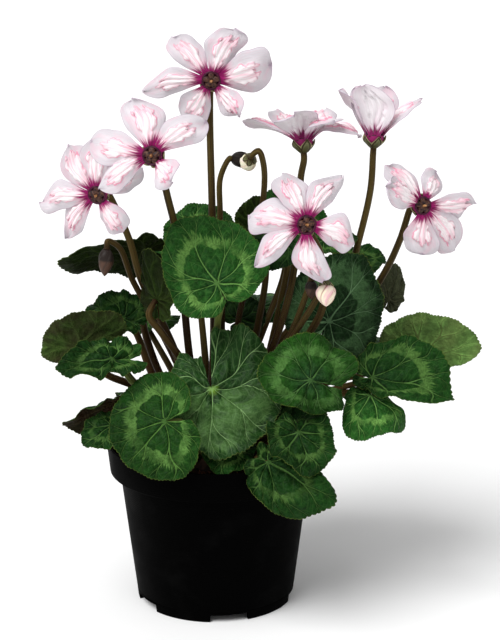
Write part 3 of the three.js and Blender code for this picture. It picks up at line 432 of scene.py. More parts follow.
# The plain values, in whose place a look can have its own.
PLAIN_LOOK = dict(strength=0.0, inner=0.5, outer=0.8, heart=0.5, fan=0.0, amount=0.0, puff=0.22, gloss=0.05)
UPPER_ROUGHNESS = 0.48
UNDER_ROUGHNESS = 0.6
VEIN_RELIEF = 0.4

# Petal colours: the inner face is crested, the outer one is plain.
PETAL_RIM = rgb(168, 128, 168)
PETAL_SHEEN = 0.08
# The edge colour, greyer than the body toward each petal's sides and tip, is painted shade.
PETAL_FRONT = dict(body=rgb(232, 226, 230), edge=rgb(212, 206, 212), root=rgb(146, 14, 94),
                   crest=rgb(250, 241, 243), fringe=rgb(242, 158, 184), reach=0.155, blush=0.2, crested=1.0)
PETAL_BACK = dict(body=rgb(247, 241, 244), edge=rgb(232, 224, 229), root=rgb(138, 30, 92),
                  crest=rgb(240, 233, 236), fringe=rgb(214, 172, 192), reach=0.17, blush=0.16, crested=0.0)


class Value:
    """A number that nodes work out, so that a sum of such numbers is written as a sum."""

    def __init__(self, graph, socket):
        self.graph = graph
        self.socket = socket

    def __add__(self, other):
        return self.graph.math("ADD", self, other)

    def __sub__(self, other):
        return self.graph.math("SUBTRACT", self, other)

    def __rsub__(self, other):
        return self.graph.math("SUBTRACT", other, self)

    def __mul__(self, other):
        return self.graph.math("MULTIPLY", self, other)

    def __truediv__(self, other):
        return self.graph.math("DIVIDE", self, other)

    def __abs__(self):
        return self.graph.math("ABSOLUTE", self)

    __radd__ = __add__
    __rmul__ = __mul__


class Graph:
    """A node tree, with short calls for the nodes that the materials use."""

    def __init__(self, tree):
        self.tree = tree

    def feed(self, socket, value):
        value = getattr(value, "socket", value)
        if isinstance(value, bpy.types.NodeSocket):
            self.tree.links.new(value, socket)
        else:
            socket.default_value = value

    def add(self, kind, inputs=(), **settings):
        """A new node. Its inputs are pairs of a socket's number or name and what goes into it."""
        node = self.tree.nodes.new(kind)
        for name, value in settings.items():
            setattr(node, name, value)
        for socket, value in inputs:
            self.feed(node.inputs[socket], value)
        return node

    def value(self, kind, inputs, **settings):
        return Value(self, self.add(kind, inputs, **settings).outputs[0])

    def math(self, operation, *numbers):
        return self.value("ShaderNodeMath", enumerate(numbers), operation=operation)

    def sine(self, value):
        return self.math("SINE", value)

    def fraction(self, value):
        return self.math("FRACT", value)

    def nearest(self, value):
        return self.math("ROUND", value)

    def larger(self, first, second):
        return self.math("MAXIMUM", first, second)

    def step(self, value, low, high, start=0.0, end=1.0):
        """Goes smoothly from start to end as value goes from low to high."""
        inputs = enumerate((value, low, high, start, end))
        return self.value("ShaderNodeMapRange", inputs, interpolation_type="SMOOTHSTEP")

    def smoothstep(self, low, high, value):
        return self.step(value, low, high)

    def mix(self, share, first, second):
        inputs = ((0, share), (6, first), (7, second))
        return self.add("ShaderNodeMix", inputs, data_type="RGBA").outputs[2]

    def brightness(self, colour, value):
        return self.add("ShaderNodeHueSaturation", (("Value", value), ("Color", colour))).outputs[0]

    def noise(self, vector, scale=1.0, detail=2.0):
        return self.value("ShaderNodeTexNoise", (("Vector", vector), ("Scale", scale), ("Detail", detail)))

    def cells(self, vector, scale):
        """How far a point is from the walls of irregular cells."""
        inputs = (("Vector", vector), ("Scale", scale))
        return self.value("ShaderNodeTexVoronoi", inputs, feature="DISTANCE_TO_EDGE")

    def split(self, vector):
        node = self.add("ShaderNodeSeparateXYZ", [(0, vector)])
        return [Value(self, output) for output in node.outputs]

    def join(self, *numbers):
        return self.add("ShaderNodeCombineXYZ", enumerate(numbers)).outputs[0]

    def attribute(self, name):
        return self.add("ShaderNodeAttribute", attribute_name=name).outputs["Vector"]

    def place(self):
        return self.add("ShaderNodeTexCoord").outputs["Object"]


class Pattern(Graph):
    """A node group that gives a colour and a height."""

    def __init__(self, name, colours, numbers):
        super().__init__(bpy.data.node_groups.new(name, "ShaderNodeTree"))
        kinds = {**dict.fromkeys(colours, "NodeSocketColor"), **dict.fromkeys(numbers, "NodeSocketFloat")}
        for label, kind in kinds.items():
            self.tree.interface.new_socket(label, in_out="INPUT", socket_type=kind)
        for label, kind in (("Color", "NodeSocketColor"), ("Height", "NodeSocketFloat")):
            self.tree.interface.new_socket(label, in_out="OUTPUT", socket_type=kind)
        entry = self.add("NodeGroupInput")
        self.given = {label: Value(self, entry.outputs[label]) for label in kinds}

    def finish(self, colour, height):
        self.add("NodeGroupOutput", (("Color", colour), ("Height", height)))
        return self.tree


class Skin(Graph):
    """A material and its shader."""

    def __init__(self, name, roughness, specular):
        self.material = bpy.data.materials.new(name)
        self.material.use_nodes = True
        super().__init__(self.material.node_tree)
        self.shader = self.tree.nodes["Principled BSDF"]
        self.shader.inputs["Roughness"].default_value = roughness
        self.shader.inputs["Specular IOR Level"].default_value = specular

    def finish(self, colour, height):
        """Colours the shader, and adds bumps whose height is in millimetres."""
        bump = self.add("ShaderNodeBump", (("Distance", MM), ("Strength", 1.0), ("Height", height)))
        self.feed(self.shader.inputs["Base Color"], colour)
        self.feed(self.shader.inputs["Normal"], bump.outputs[0])
        return self.material

    def finish_with(self, pattern, settings):
        """Colours the shader by a pattern with settings of its own."""
        node = self.add("ShaderNodeGroup", node_tree=pattern)
        for label, value in settings.items():
            node.inputs[label.title()].default_value = value
        return self.finish(node.outputs["Color"], node.outputs["Height"])


def vein_arc(angle, share, seed, sine, nearest, smooth):
    """How far a point is from the nearest branch of a vein, as an angle.

    The blade's mesh and its pattern both use it, each with its own sine, rounding and smooth step.
    """
    sways = [size * sine(around * angle + along * share + shift * seed)
             for size, around, along, shift in VEIN_SWAYS]
    turn = angle * (1 + VEIN_SWEEP * share) / VEIN_SPACING + (sways[0] + sways[1])
    number = nearest(turn)
    late = share - FORK_UNEVEN * sine(2.4 * number + seed)
    first = FORK_SPREAD * smooth(FORK_START, FORK_END, late)
    second = FORK_SPREAD / 2 * smooth(SECOND_FORK_START, SECOND_FORK_END, late)
    return abs(abs(abs(turn - number) - first) - second) * VEIN_SPACING


def leaf_band(g, angle, share, plan):
    """How much of the pale band there is: its jagged limits, its gaps and its speckles."""
    seed = g.given["Seed"]
    drift = g.noise(g.join(angle * 1.5, share * 0.4, seed + 3.0))
    jag = g.noise(g.join(angle * 6.0, share * 1.2, seed))
    spikes = g.noise(g.join(angle * 30.0, share, seed + 7.0), detail=3.0)
    gaps = g.noise(g.join(angle * 1.1, seed, 0.0), detail=1.0)
    drift = (drift - 0.5) * 0.3
    start = g.given["Inner"] + drift + (jag - 0.5) * 0.14
    end = g.given["Outer"] + drift + (spikes - 0.5) * 0.36
    inside = g.step(share - start, -0.012, 0.02)
    outside = g.step(share - end, 0.045, -0.03)
    patches = g.step(g.noise(plan, 0.13, 4.0), 0.36, 0.56, 0.3, 1.0)
    speckle = g.step(g.noise(plan, 1.1, 3.0), 0.35, 0.6, 0.62, 1.0)
    fan = 1.0 - g.step(abs(angle), 0.9, 1.8) * g.given["Fan"]
    whole = g.step(gaps, 0.3, 0.45, 0.3, 1.0)
    return inside * outside * patches * speckle * whole * fan * g.given["Strength"]


def leaf_veins(g, share, radius, plan, arc, width, net):
    """How much of a vein there is: the ones that fork, the ribs between them and a fine net."""
    main = g.step(arc / width, 1.5, 0.4)
    main = main * g.step(share, 1.0, 0.7, 0.4, 1.0) * g.step(share, 0.0, 0.2, 0.5, 1.0)
    rib = g.fraction((radius - arc * RIB_SLANT + g.noise(plan, 0.18) * 5.0) * 0.2)
    ribs = g.step(abs(rib - 0.5) * 3.2, 0.4, 0.1) * 0.14
    fine = g.step(net, 0.07, 0.0) * 0.1
    return g.larger(main, g.larger(ribs, fine))


def leaf_group():
    """The leaf's pattern: forking veins, a jagged pale band, mottling, a flush, and painted shade: darker
    valleys beside the veins with lighter cushions between them, and one side of the blade lighter than the
    other.
    """
    colours = ("Base", "Middle", "Silver", "Vein", "Flush")
    numbers = ("Strength", "Inner", "Outer", "Heart", "Fan", "Amount", "Seed", "Relief", "Puff", "Tone")
    g = Pattern("leaf_pattern", colours, numbers)
    given = g.given
    angle, share, radius = g.split(g.attribute("polar"))
    plan = g.attribute("plan")
    arc = vein_arc(angle, share, given["Seed"], g.sine, g.nearest, g.smoothstep) * radius
    width = 0.46 - share * 0.28
    net = g.cells(plan, 0.42)
    veins = leaf_veins(g, share, radius, plan, arc, width, net)
    mottle = g.noise(plan, 0.3, 4.0)
    # Painted shade and light from the quilting: on the upper face darker beside the veins and lighter on the
    # cushions between them, on the under face lighter along the raised veins.
    painted_quilt_shade = g.step(arc / width, 0.8, 5.0, 1.9, -1.0) * given["Relief"] + 2.0
    # Painted light and shade over the whole blade: one side lighter, the other darker, growing toward the
    # margin.
    painted_side_shade = g.sine(angle + given["Seed"] * 3.1) * share * PAINTED_SIDE_SHADE
    flushed = g.step(g.noise(plan, 0.07, 3.0), 0.38, 0.66) * given["Amount"]
    margin = g.step(share, 0.985, 0.998) * g.step(mottle, 0.3, 0.6, 0.2, 0.75)
    colour = g.mix(g.step(share, given["Heart"] * 0.15, given["Heart"]), given["Middle"], given["Base"])
    colour = g.brightness(colour, mottle * painted_quilt_shade)
    colour = g.mix(leaf_band(g, angle, share, plan), colour, given["Silver"])
    colour = g.mix(veins * 0.85, colour, given["Vein"])
    colour = g.mix(flushed, colour, given["Flush"])
    colour = g.brightness(colour, given["Tone"] * (painted_side_shade + 1.0))
    colour = g.mix(margin, colour, MARGIN_GREEN)
    cushions = g.step(net, 0.0, 0.3) * given["Puff"]
    return g.finish(colour, veins * given["Relief"] + cushions + mottle * 0.15)


def petal_group():
    """The petal's pattern: magenta root with streaks, fine veins, a white crest, a pink fringe, and painted
    shade in greyer edges.
    """
    g = Pattern("petal_pattern", ("Body", "Edge", "Root", "Crest", "Fringe"), ("Reach", "Blush", "Crested"))
    given = g.given
    along, across, crest = g.split(g.attribute("petal"))
    seed = g.split(g.attribute("petal_number"))[0]
    streak = g.noise(g.join(across * 8.0, along * 1.4, seed), detail=3.0)
    cloud = g.noise(g.join(across * 1.6, along * 2.6, seed))
    pleats = g.noise(g.join(across * 11.0, along * 2.0, seed))
    past_root = along - (streak * 0.5 - 0.25 + given["Reach"])
    # Painted shade: this margin mask greys each petal toward its sides and tip.
    margin = g.larger(g.step(abs(across), 0.3, 0.8), g.step(along, 0.66, 0.95))
    lines = g.step(abs(g.fraction(across * 9.0 + streak * 1.2) - 0.5), 0.14, 0.0)
    raised = g.step(crest, 0.4, 0.75) * given["Crested"]
    lip = g.step(crest, 0.05, 0.3) * g.step(crest, 0.85, 0.5) * given["Crested"]
    lip = lip * g.step(along, 0.15, 0.5) * g.step(cloud, 0.35, 0.6, 0.35, 0.95)
    rim = g.larger(g.step(abs(across), 0.95, 1.0), g.step(along, 0.98, 1.0))
    pleated = g.mix(g.step(pleats, 0.48, 0.66, 0.0, 0.5), given["Crest"], given["Fringe"])
    pleated = g.mix(g.step(along, 0.5, 0.8, 0.0, 0.35), pleated, given["Fringe"])
    colour = g.mix(margin, given["Body"], given["Edge"])
    colour = g.mix(g.step(cloud, 0.46, 0.66) * given["Blush"], colour, given["Fringe"])
    colour = g.mix(lines * 0.13, colour, given["Fringe"])
    colour = g.mix(raised, colour, pleated)
    colour = g.mix(lip, colour, given["Fringe"])
    colour = g.mix(g.step(past_root, 0.2, 0.0) * 0.4, colour, given["Fringe"])
    colour = g.mix(g.step(past_root, 0.07, -0.06), colour, given["Root"])
    colour = g.mix(rim * 0.4, colour, PETAL_RIM)
    return g.finish(colour, lines * 0.1 - pleats * raised * 0.5)


def leaf_material(name, number, pattern, look, roughness, relief):
    """One face of a blade: its look, with the leaf's own seed and its tone of painted light and shade."""
    base = look["base"]
    settings = {**PLAIN_LOOK, "middle": base, "silver": base, "flush": base, **look}
    gloss = settings.pop("gloss")
    settings.update(seed=LEAF_SEED * number, tone=PAINTED_LIGHT_TONES.get(number, 1.0), relief=relief)
    return Skin(name, roughness, gloss).finish_with(pattern, settings)


def petal_material(name, pattern, settings):
    skin = Skin(name, 0.6, 0.15)
    skin.shader.inputs["Sheen Weight"].default_value = PETAL_SHEEN
    return skin.finish_with(pattern, settings)


def stalk_material():
    """Smooth skin: dark red-brown or green low down, olive higher up and dark brown on top, with long
    streaks. The dark red-brown low down is partly the stalks' own colour and partly painted shade, where they
    stand low among the leaves.
    """
    g = Skin("stalk_skin", 0.45, 0.06)
    share, turn, number = g.split(g.attribute("stalk"))
    streaks = g.noise(g.join(turn * 2.2, share * 2.5, number), detail=4.0)
    green = g.step(g.fraction(number), GREEN_MARK * 0.4, GREEN_MARK * 0.8)
    tone = g.fraction(number * 0.61) * 0.5 + 0.65
    # Partly painted shade: the lowest part of each stalk is darker, as it stands in the shade under the
    # leaves, besides its own red-brown.
    colour = g.mix(g.step(share, 0.25, 0.6), rgb(52, 28, 16), rgb(84, 66, 34))
    colour = g.mix(g.step(share, 0.8, 1.0), colour, rgb(58, 36, 24))
    colour = g.mix(green, colour, rgb(92, 102, 50))
    colour = g.mix(g.step(streaks, 0.45, 0.7, 0.0, 0.8), colour, rgb(38, 24, 15))
    return g.finish(g.brightness(colour, tone), streaks * 0.15)


def calyx_material():
    """Grey-olive lobes with a pale edge, a brown outline within it and brown specks."""
    g = Skin("calyx_skin", 0.55, 0.15)
    edge, height, _ = g.split(g.attribute("sepal"))
    speck = g.noise(g.place(), 1500.0, 3.0)
    colour = g.mix(g.step(height, 0.0, 1.0), rgb(72, 70, 40), rgb(124, 128, 88))
    colour = g.mix(g.step(speck, 0.52, 0.7) * 0.5, colour, rgb(60, 46, 32))
    colour = g.mix(g.step(edge, 0.4, 0.24), colour, rgb(54, 38, 28))
    colour = g.mix(g.step(edge, 0.16, 0.06), colour, rgb(150, 144, 104))
    return g.finish(colour, speck * 0.1)


def bud_material(name, petals, stripe, base, lower):
    """A bud wound in stripes: its cover below, its petals above."""
    g = Skin(name, 0.5, 0.25)
    share, twist, _ = g.split(g.attribute("bud"))
    fold = g.step(abs(g.fraction(twist * 5.0) - 0.5), 0.36, 0.5)
    streaks = g.noise(g.join(twist * 9.0, share * 1.5, 0.3), detail=3.0)
    ragged = share + streaks * 0.2 - 0.1
    colour = g.mix(g.step(streaks, 0.4, 0.7), petals, stripe)
    colour = g.mix(fold * 0.7, colour, base)
    colour = g.mix(g.step(ragged, lower + 0.06, lower - 0.06), colour, base)
    return g.finish(colour, streaks * 0.2)


def pot_material():
    """Matt black plastic with fine turned rings, faint scuffs and dust."""
    g = Skin("black_plastic", 0.5, 0.008)
    place = g.place()
    rings = g.sine(g.split(place)[2] * 5200.0)
    scuffs = g.noise(place, 60.0, 6.0)
    dust = g.noise(place, 900.0, 3.0)
    g.feed(g.shader.inputs["Roughness"], g.step(scuffs, 0.3, 0.7, 0.46, 0.6))
    colour = g.mix(g.step(scuffs, 0.5, 0.75), rgb(2, 2, 2), rgb(6, 6, 6))
    colour = g.mix(g.step(dust, 0.64, 0.76) * 0.25, colour, rgb(20, 19, 18))
    return g.finish(colour, rings * 0.02 + dust * 0.05)


def soil_material():
    """Dark damp peat with lighter crumbs and reddish fibres."""
    g = Skin("peat", 0.95, 0.1)
    place = g.place()
    x, y, _ = g.split(place)
    crumbs = g.noise(place, 320.0, 5.0)
    fibres = g.noise(g.join(x * 900.0, y * 140.0, 0.0), detail=3.0)
    colour = g.mix(g.step(crumbs, 0.35, 0.7), rgb(18, 12, 9), rgb(58, 38, 26))
    colour = g.mix(g.step(fibres, 0.6, 0.75) * 0.6, colour, rgb(96, 52, 34))
    return g.finish(colour, crumbs * 0.9)


def plain_material(name, dark, light, scale, roughness):
    """Two colours in small patches, with bumps to match."""
    g = Skin(name, roughness, 0.25)
    patches = g.noise(g.place(), scale, 4.0)
    return g.finish(g.mix(g.step(patches, 0.35, 0.65), dark, light), patches * 0.2)


# Vectors and meshes

def unit(vector):
    vector = np.asarray(vector, float)
    return vector / np.linalg.norm(vector)


def smoothstep(low, high, value):
    share = np.clip((value - low) / (high - low), 0, 1)
    return share * share * (3 - 2 * share)


def all_round(count):
    """Even angles all the way round."""
    return 2 * np.pi * np.arange(count) / count


def rows_of(*numbers):
    """One row for each point, from grids or lists of its numbers."""
    return np.stack(np.broadcast_arrays(*numbers), -1).reshape(-1, len(numbers))


def new_object(name, points, faces):
    """An object in the scene, from points in millimetres."""
    mesh = bpy.data.meshes.new(name)
    mesh.from_pydata((np.asarray(points) + POT_AXIS) * MM, [], faces)
    obj = bpy.data.objects.new(name, mesh)
    bpy.context.scene.collection.objects.link(obj)
    return obj


def make_piece(name, node, points, triangles, materials, kinds=None, attributes=None):
    """A piece in place of a CAD node. A triangle's kind is the number of its material."""
    obj = new_object(name, points, triangles)
    for material in materials:
        obj.data.materials.append(material)
    if kinds is not None:
        obj.data.polygons.foreach_set("material_index", np.asarray(kinds, np.int32))
    for label, values in (attributes or {}).items():
        layer = obj.data.attributes.new(label, "FLOAT_VECTOR", "POINT")
        layer.data.foreach_set("vector", np.asarray(values, np.float32).ravel())
    obj.data.shade_smooth()
    obj.data.update()
    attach(obj, "root")
    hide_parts(node)
    return obj


def vertex_normals(points, triangles):
    corners = points[triangles]
    faces = np.cross(corners[:, 1] - corners[:, 0], corners[:, 2] - corners[:, 0])
    normals = np.zeros_like(points)
    for corner in range(3):
        np.add.at(normals, triangles[:, corner], faces)
    return normals / np.maximum(np.linalg.norm(normals, axis=1, keepdims=True), 1e-12)


def sheet(points, triangles, border, thickness):
    """A thin sheet with a front, a back and a wall round its border: points, triangles, kinds."""
    offset = vertex_normals(points, triangles) * np.reshape(thickness, (-1, 1)) / 2
    count = len(points)
    border = np.asarray(border)
    after = np.roll(border, -1)
    wall = np.concatenate([
        rows_of(border, border + count, after + count),
        rows_of(border, after + count, after),
    ])
    faces = np.concatenate([triangles, triangles[:, ::-1] + count, wall])
    kinds = np.repeat([0, 1, 0], [len(triangles), len(triangles), len(wall)])
    return np.concatenate([points + offset, points - offset]), faces, kinds


def join_parts(parts):
    """One mesh of several: each part is points, triangles, kinds and rows of one attribute."""
    points, triangles, kinds, rows, count = [], [], [], [], 0
    for part_points, part_triangles, part_kinds, part_rows in parts:
        points.append(part_points)
        triangles.append(part_triangles + count)
        kinds.append(np.broadcast_to(part_kinds, len(part_triangles)))
        rows.append(part_rows)
        count += len(part_points)
    return tuple(np.concatenate(x) for x in (points, triangles, kinds, rows))


def grid_triangles(rows, columns, around=True):
    """Triangles between the rows of a grid, anticlockwise, closed round its columns if asked."""
    last = columns if around else columns - 1
    row, column = np.meshgrid(np.arange(rows - 1), np.arange(last), indexing="ij")
    a = (row * columns + column).ravel()
    b = (row * columns + (column + 1) % columns).ravel()
    return np.concatenate([rows_of(a, b, b + columns), rows_of(a, b + columns, a + columns)])


def tube_triangles(rows, columns):
    """Triangles of rings in a row, whose ends close on the last two points: the foot's, the head's."""
    foot = rows * columns
    head = foot + 1
    last = foot - columns
    i = np.arange(columns)
    after = (i + 1) % columns
    caps = [rows_of(foot, after, i), rows_of(head, last + i, last + after)]
    return np.concatenate([grid_triangles(rows, columns)] + caps)


def lathe_part(profile, kind, segments):
    """A turned shape about the Z axis from (radius, height) pairs, listed from its foot upward."""
    profile = np.asarray(profile, float)
    radius, height = profile[:, :1], profile[:, 1:]
    turn = all_round(segments)
    points = rows_of(radius * np.cos(turn), radius * np.sin(turn), height)
    return points, grid_triangles(len(profile), segments), kind, np.zeros_like(points)


def blob_part(centre, axis, size, kind):
    """A smooth grain with pointed ends, of a length, width and depth."""
    rows, columns = 11, 12
    length, width, depth = size
    axis = unit(axis)
    side = unit(np.cross(axis, [0.1, 0.2, 1]))
    over = np.cross(axis, side)
    up = np.linspace(0, np.pi, rows)[:, None]
    turn = all_round(columns)
    girth = np.sin(up) ** 1.2
    points = (
        np.array(centre) + axis * (-length / 2 * np.cos(up) + 0 * turn)[..., None]
        + side * (width / 2 * girth * np.cos(turn))[..., None]
        + over * (depth / 2 * girth * np.sin(turn))[..., None]
    ).reshape(-1, 3)
    return points, grid_triangles(rows, columns), kind, np.zeros_like(points)


# Leaves

def leaf_frame(leaf):
    at, tip = np.array(leaf["at"], float), np.array(leaf["tip"], float)
    forward = unit(tip - at)
    face = np.array(leaf["face"], float)
    up = unit(face - forward * face.dot(forward))
    return np.stack([np.cross(forward, up), forward, up])


def rim_radius(angle, length, rear, half, ahead):
    """How far the margin is from the stalk: two half ovals meet where the blade is widest."""
    forward, sideways = np.cos(angle), np.sin(angle)

    def on_oval(reach):
        square = (forward / reach) ** 2 + (sideways / half) ** 2
        shift = forward * ahead / reach ** 2
        return (shift + np.sqrt(shift ** 2 - square * ((ahead / reach) ** 2 - 1))) / square

    front = on_oval(length - ahead)
    return np.where(front * forward > ahead, front, on_oval(rear + ahead))


def leaf_outline(leaf, angle, share, half, length, seed):
    """How far each point is from the stalk's end: the ovals, pinched, notched, pointed and toothed."""
    behind = np.pi - np.abs(angle)
    rim = rim_radius(angle, length, length * leaf["back"], half, length * leaf.get("ahead", 0))
    rim *= 1 - leaf.get("pinch", 0) * np.sin(2 * angle) ** 2
    notch = SINUS_DEPTH * np.exp(-((behind / SINUS_SPREAD) ** 2))
    tip = TIP_LENGTH * np.exp(-((angle / TIP_SPREAD) ** 2))
    teeth = np.round(TEETH * np.clip(length / LARGE_LEAF, 0.5, 1))
    saw = np.abs(np.sin(angle * teeth / 2)) - 0.5
    uneven = sum(size * np.sin(waves * angle + shift * seed) for size, waves, shift in UNEVEN_MARGIN)
    rim *= 1 - notch + tip + uneven * smoothstep(MARGIN_START, 1.0, share)
    rim *= 1 + 2 * TOOTH * saw * smoothstep(TOOTH_ROOT, 1.0, share)
    return rim


def quilting(angle, share, reach, seed):
    """The blade sinks along its veins, puffs up between them and ripples at its margin."""
    arc = vein_arc(angle, share, seed, np.sin, np.round, smoothstep) * reach
    sunk = -VALLEY_DEPTH * np.exp(-((arc / VALLEY_WIDTH) ** 2)) * smoothstep(0.02, 0.2, share)
    ribs = np.cos(2 * np.pi * (reach - RIB_SLANT * arc) / RIB_STEP + seed) * smoothstep(0.6, 2.5, arc)
    swell = SWELL * np.sin(0.3 * reach + 3 * angle + seed) * np.sin(2.3 * angle - seed) * share
    ripple = RIPPLE * share ** 4 * (np.sin(9 * angle + 3 * seed) + 0.6 * np.sin(16 * angle + seed))
    return sunk * (1 - 0.6 * share) + RIB_HEIGHT * ribs * (1 - share ** 4) + swell + ripple


def leaf_points(leaf, angle, share, seed):
    """The blade's middle surface in its own directions, and each point's polar and plan places."""
    half = np.where(angle < 0, leaf["half"][0], leaf["half"][1])
    curl, roll = leaf.get("curl", 0), leaf.get("roll", 0)
    lobes = leaf.get("lobes", [0, 0])
    chord = np.linalg.norm(np.subtract(leaf["tip"], leaf["at"]))
    length = chord * curl / (2 * math.sin(curl / 2)) if curl else chord
    rim = leaf_outline(leaf, angle, share, half, length, seed)
    x, y = share * rim * np.sin(angle), share * rim * np.cos(angle)
    reach = np.hypot(x, y)
    across = x / half
    lobe = np.where(angle < 0, lobes[0], lobes[1])
    height = leaf.get("fold", 0) * half * (np.hypot(across, FOLD_ROUNDING) - FOLD_ROUNDING)
    height += leaf.get("wave", 0) * leaf["half"][0] * share ** 3 * np.sin(MARGIN_WAVES * angle + chord)
    height += lobe * half * share ** 2 * smoothstep(LOBE_START, LOBE_END, np.abs(angle))
    height -= half * (1 - np.cos(roll * across)) / (roll or 1)
    height += quilting(angle, share, reach, seed) * leaf.get("quilt", 1)
    out = half * np.sin(roll * across) / roll if roll else x
    polar = rows_of(angle, share, reach)
    plan = rows_of(x, y, 10 * seed)
    if not curl:
        return rows_of(out, y, height), polar, plan
    bend, arc, tilt = curl * y / length, length / curl, curl / 2
    along = (arc + height) * np.sin(bend)
    above = height * np.cos(bend) - arc * (1 - np.cos(bend))
    forward = along * math.cos(tilt) - above * math.sin(tilt)
    up = along * math.sin(tilt) + above * math.cos(tilt)
    return rows_of(out, forward, up), polar, plan


def ring_starts():
    """The number of the first point of each ring of a blade, after the one in its middle."""
    counts = [steps + 1 for steps, _ in LEAF_RINGS]
    return [1 + sum(counts[:i]) for i in range(len(counts))]


def leaf_triangles():
    """A fan in the middle, then bands between rings, some of which have twice the steps of the last."""
    starts = ring_starts()
    first = np.arange(LEAF_RINGS[0][0])
    triangles = [rows_of(0, 1 + first, 2 + first)]
    for ring in range(len(LEAF_RINGS) - 1):
        steps = LEAF_RINGS[ring][0]
        ratio = LEAF_RINGS[ring + 1][0] // steps
        i = np.arange(steps)
        inner, outer = starts[ring] + i, starts[ring + 1] + ratio * i
        triangles += [rows_of(inner, outer, outer + 1), rows_of(inner, outer + 1, inner + 1)]
        if ratio == 2:
            triangles.append(rows_of(inner + 1, outer + 1, outer + 2))
    return np.concatenate(triangles)


def leaf_border():
    """The points round a blade and along both sides of its notch, in order."""
    starts = ring_starts()
    ends = [start + steps for start, (steps, _) in zip(starts, LEAF_RINGS)]
    return [0] + starts[:-1] + list(range(starts[-1], ends[-1] + 1)) + ends[-2::-1]


def leaf_mesh(leaf, seed):
    sinus = leaf.get("sinus", SINUS_HALF_ANGLE)
    angles = [(np.pi - sinus) * (1 - 2 * np.arange(steps + 1) / steps) for steps, _ in LEAF_RINGS]
    angle = np.concatenate([np.zeros(1)] + angles)
    share = np.concatenate([np.zeros(1)] + [np.full(steps + 1, share) for steps, share in LEAF_RINGS])
    points, polar, plan = leaf_points(leaf, angle, share, seed)
    thickness = LEAF_THICKNESS * (1 - 0.5 * smoothstep(MARGIN_START, 1.0, share))
    solid, faces, kinds = sheet(points, leaf_triangles(), leaf_border(), thickness)
    placed = solid @ leaf_frame(leaf) + np.array(leaf["at"])
    return placed, faces, kinds, {"polar": np.tile(polar, (2, 1)), "plan": np.tile(plan, (2, 1))}


def make_leaves():
    pattern = leaf_group()
    for i, leaf in enumerate(LEAVES, 1):
        name = f"leaf_{i:02}"
        upper_look, under_look = UPPER_LOOKS.get(i, DARK), UNDER_LOOKS.get(i, OLIVE)
        upper = leaf_material(name + "_upper", i, pattern, upper_look, UPPER_ROUGHNESS, -VEIN_RELIEF)
        under = leaf_material(name + "_under", i, pattern, under_look, UNDER_ROUGHNESS, VEIN_RELIEF)
        points, faces, kinds, attributes = leaf_mesh(leaf, LEAF_SEED * i)
        make_piece(f"blade_{i:02}", name, points, faces, [upper, under], kinds, attributes)


# Stems

def smooth_curve(points, steps):
    """A centripetal curve through the points."""
    points = np.asarray(points, float)
    points = np.concatenate([[2 * points[0] - points[1]], points, [2 * points[-1] - points[-2]]])
    gaps = np.sqrt(np.linalg.norm(np.diff(points, axis=0), axis=1))
    curve = []
    spans = len(points) - 3
    for k in range(spans):
        p0, p1, p2, p3 = points[k:k + 4]
        g0, g1, g2 = gaps[k:k + 3]
        leave = ((p1 - p0) / g0 - (p2 - p0) / (g0 + g1) + (p2 - p1) / g1) * g1
        arrive = ((p2 - p1) / g1 - (p3 - p1) / (g1 + g2) + (p3 - p2) / g2) * g1
        t = np.linspace(0, 1, steps + 1)[:, None]
        if k < spans - 1:
            t = t[:-1]
        curve.append(p1 + leave * t + (3 * (p2 - p1) - 2 * leave - arrive) * t ** 2
                     + (2 * (p1 - p2) + leave + arrive) * t ** 3)
    return np.concatenate(curve)


def tube(path, radii, sides, number):
    """A round bar along a path: points, triangles, kind and (share, turn, number) rows."""
    tangents = np.gradient(path, axis=0)
    tangents /= np.linalg.norm(tangents, axis=1, keepdims=True)
    side = unit(np.cross(tangents[0], [0.3, 1, 0.2]))
    turns = all_round(sides)
    points = []
    for place, tangent, radius in zip(path, tangents, radii):
        side = unit(side - tangent * side.dot(tangent))
        over = np.cross(tangent, side)
        points.append(place + radius * (np.outer(np.cos(turns), side) + np.outer(np.sin(turns), over)))
    points = np.concatenate(points + [path[:1], path[-1:]])
    share = np.arange(len(path))[:, None] / (len(path) - 1)
    rows = np.concatenate([rows_of(share, turns, number), [[0, 0, number], [1, 0, number]]])
    return points, tube_triangles(len(path), sides), 0, rows


def crown_roots(places, rings):
    """The stems stand in rings on the tuber's crown, each on the side that it leans to."""
    turns = [math.atan2(place[1], place[0]) for place in places]
    order = sorted(range(len(turns)), key=lambda i: turns[i])
    roots = []
    for i, turn in enumerate(turns):
        radius = rings[order.index(i) % len(rings)]
        height = TUBER_HALF_HEIGHT * math.sqrt(1 - (radius / TUBER_RADIUS) ** 2) - STEM_SINK
        roots.append(np.array([radius * math.cos(turn), radius * math.sin(turn), TUBER_CENTRE + height]))
    return roots


def petiole_points(leaf, root):
    """A leaf's stalk leaves the tuber upright and meets the blade from below and behind."""
    _, forward, up = leaf_frame(leaf)
    arrive = unit(forward + up)
    end = np.array(leaf["at"]) - up * (LEAF_THICKNESS / 2 + PETIOLE_GAP)
    if "via" in leaf:
        return [root, *leaf["via"], end - PETIOLE_STRAIGHT * arrive, end]
    rise = PETIOLE_RISE * np.linalg.norm(end - root)
    above = root + PETIOLE_LEAN * rise * root
    above[2] = root[2] + rise
    behind = end - PETIOLE_SWEEP * rise * arrive
    t = np.linspace(0, 1, 5)[:, None]
    return (1 - t) ** 3 * root + 3 * (1 - t) ** 2 * t * above + 3 * (1 - t) * t ** 2 * behind + t ** 3 * end


def stalk_points(item, facing, neck, root):
    """A stalk ends behind the flower or bud, by the length of its neck."""
    back = -unit(facing)
    end = np.array(item["at"]) + back * neck
    return [root, *item["stalk"], end + back * item.get("straight", STALK_STRAIGHT), end]


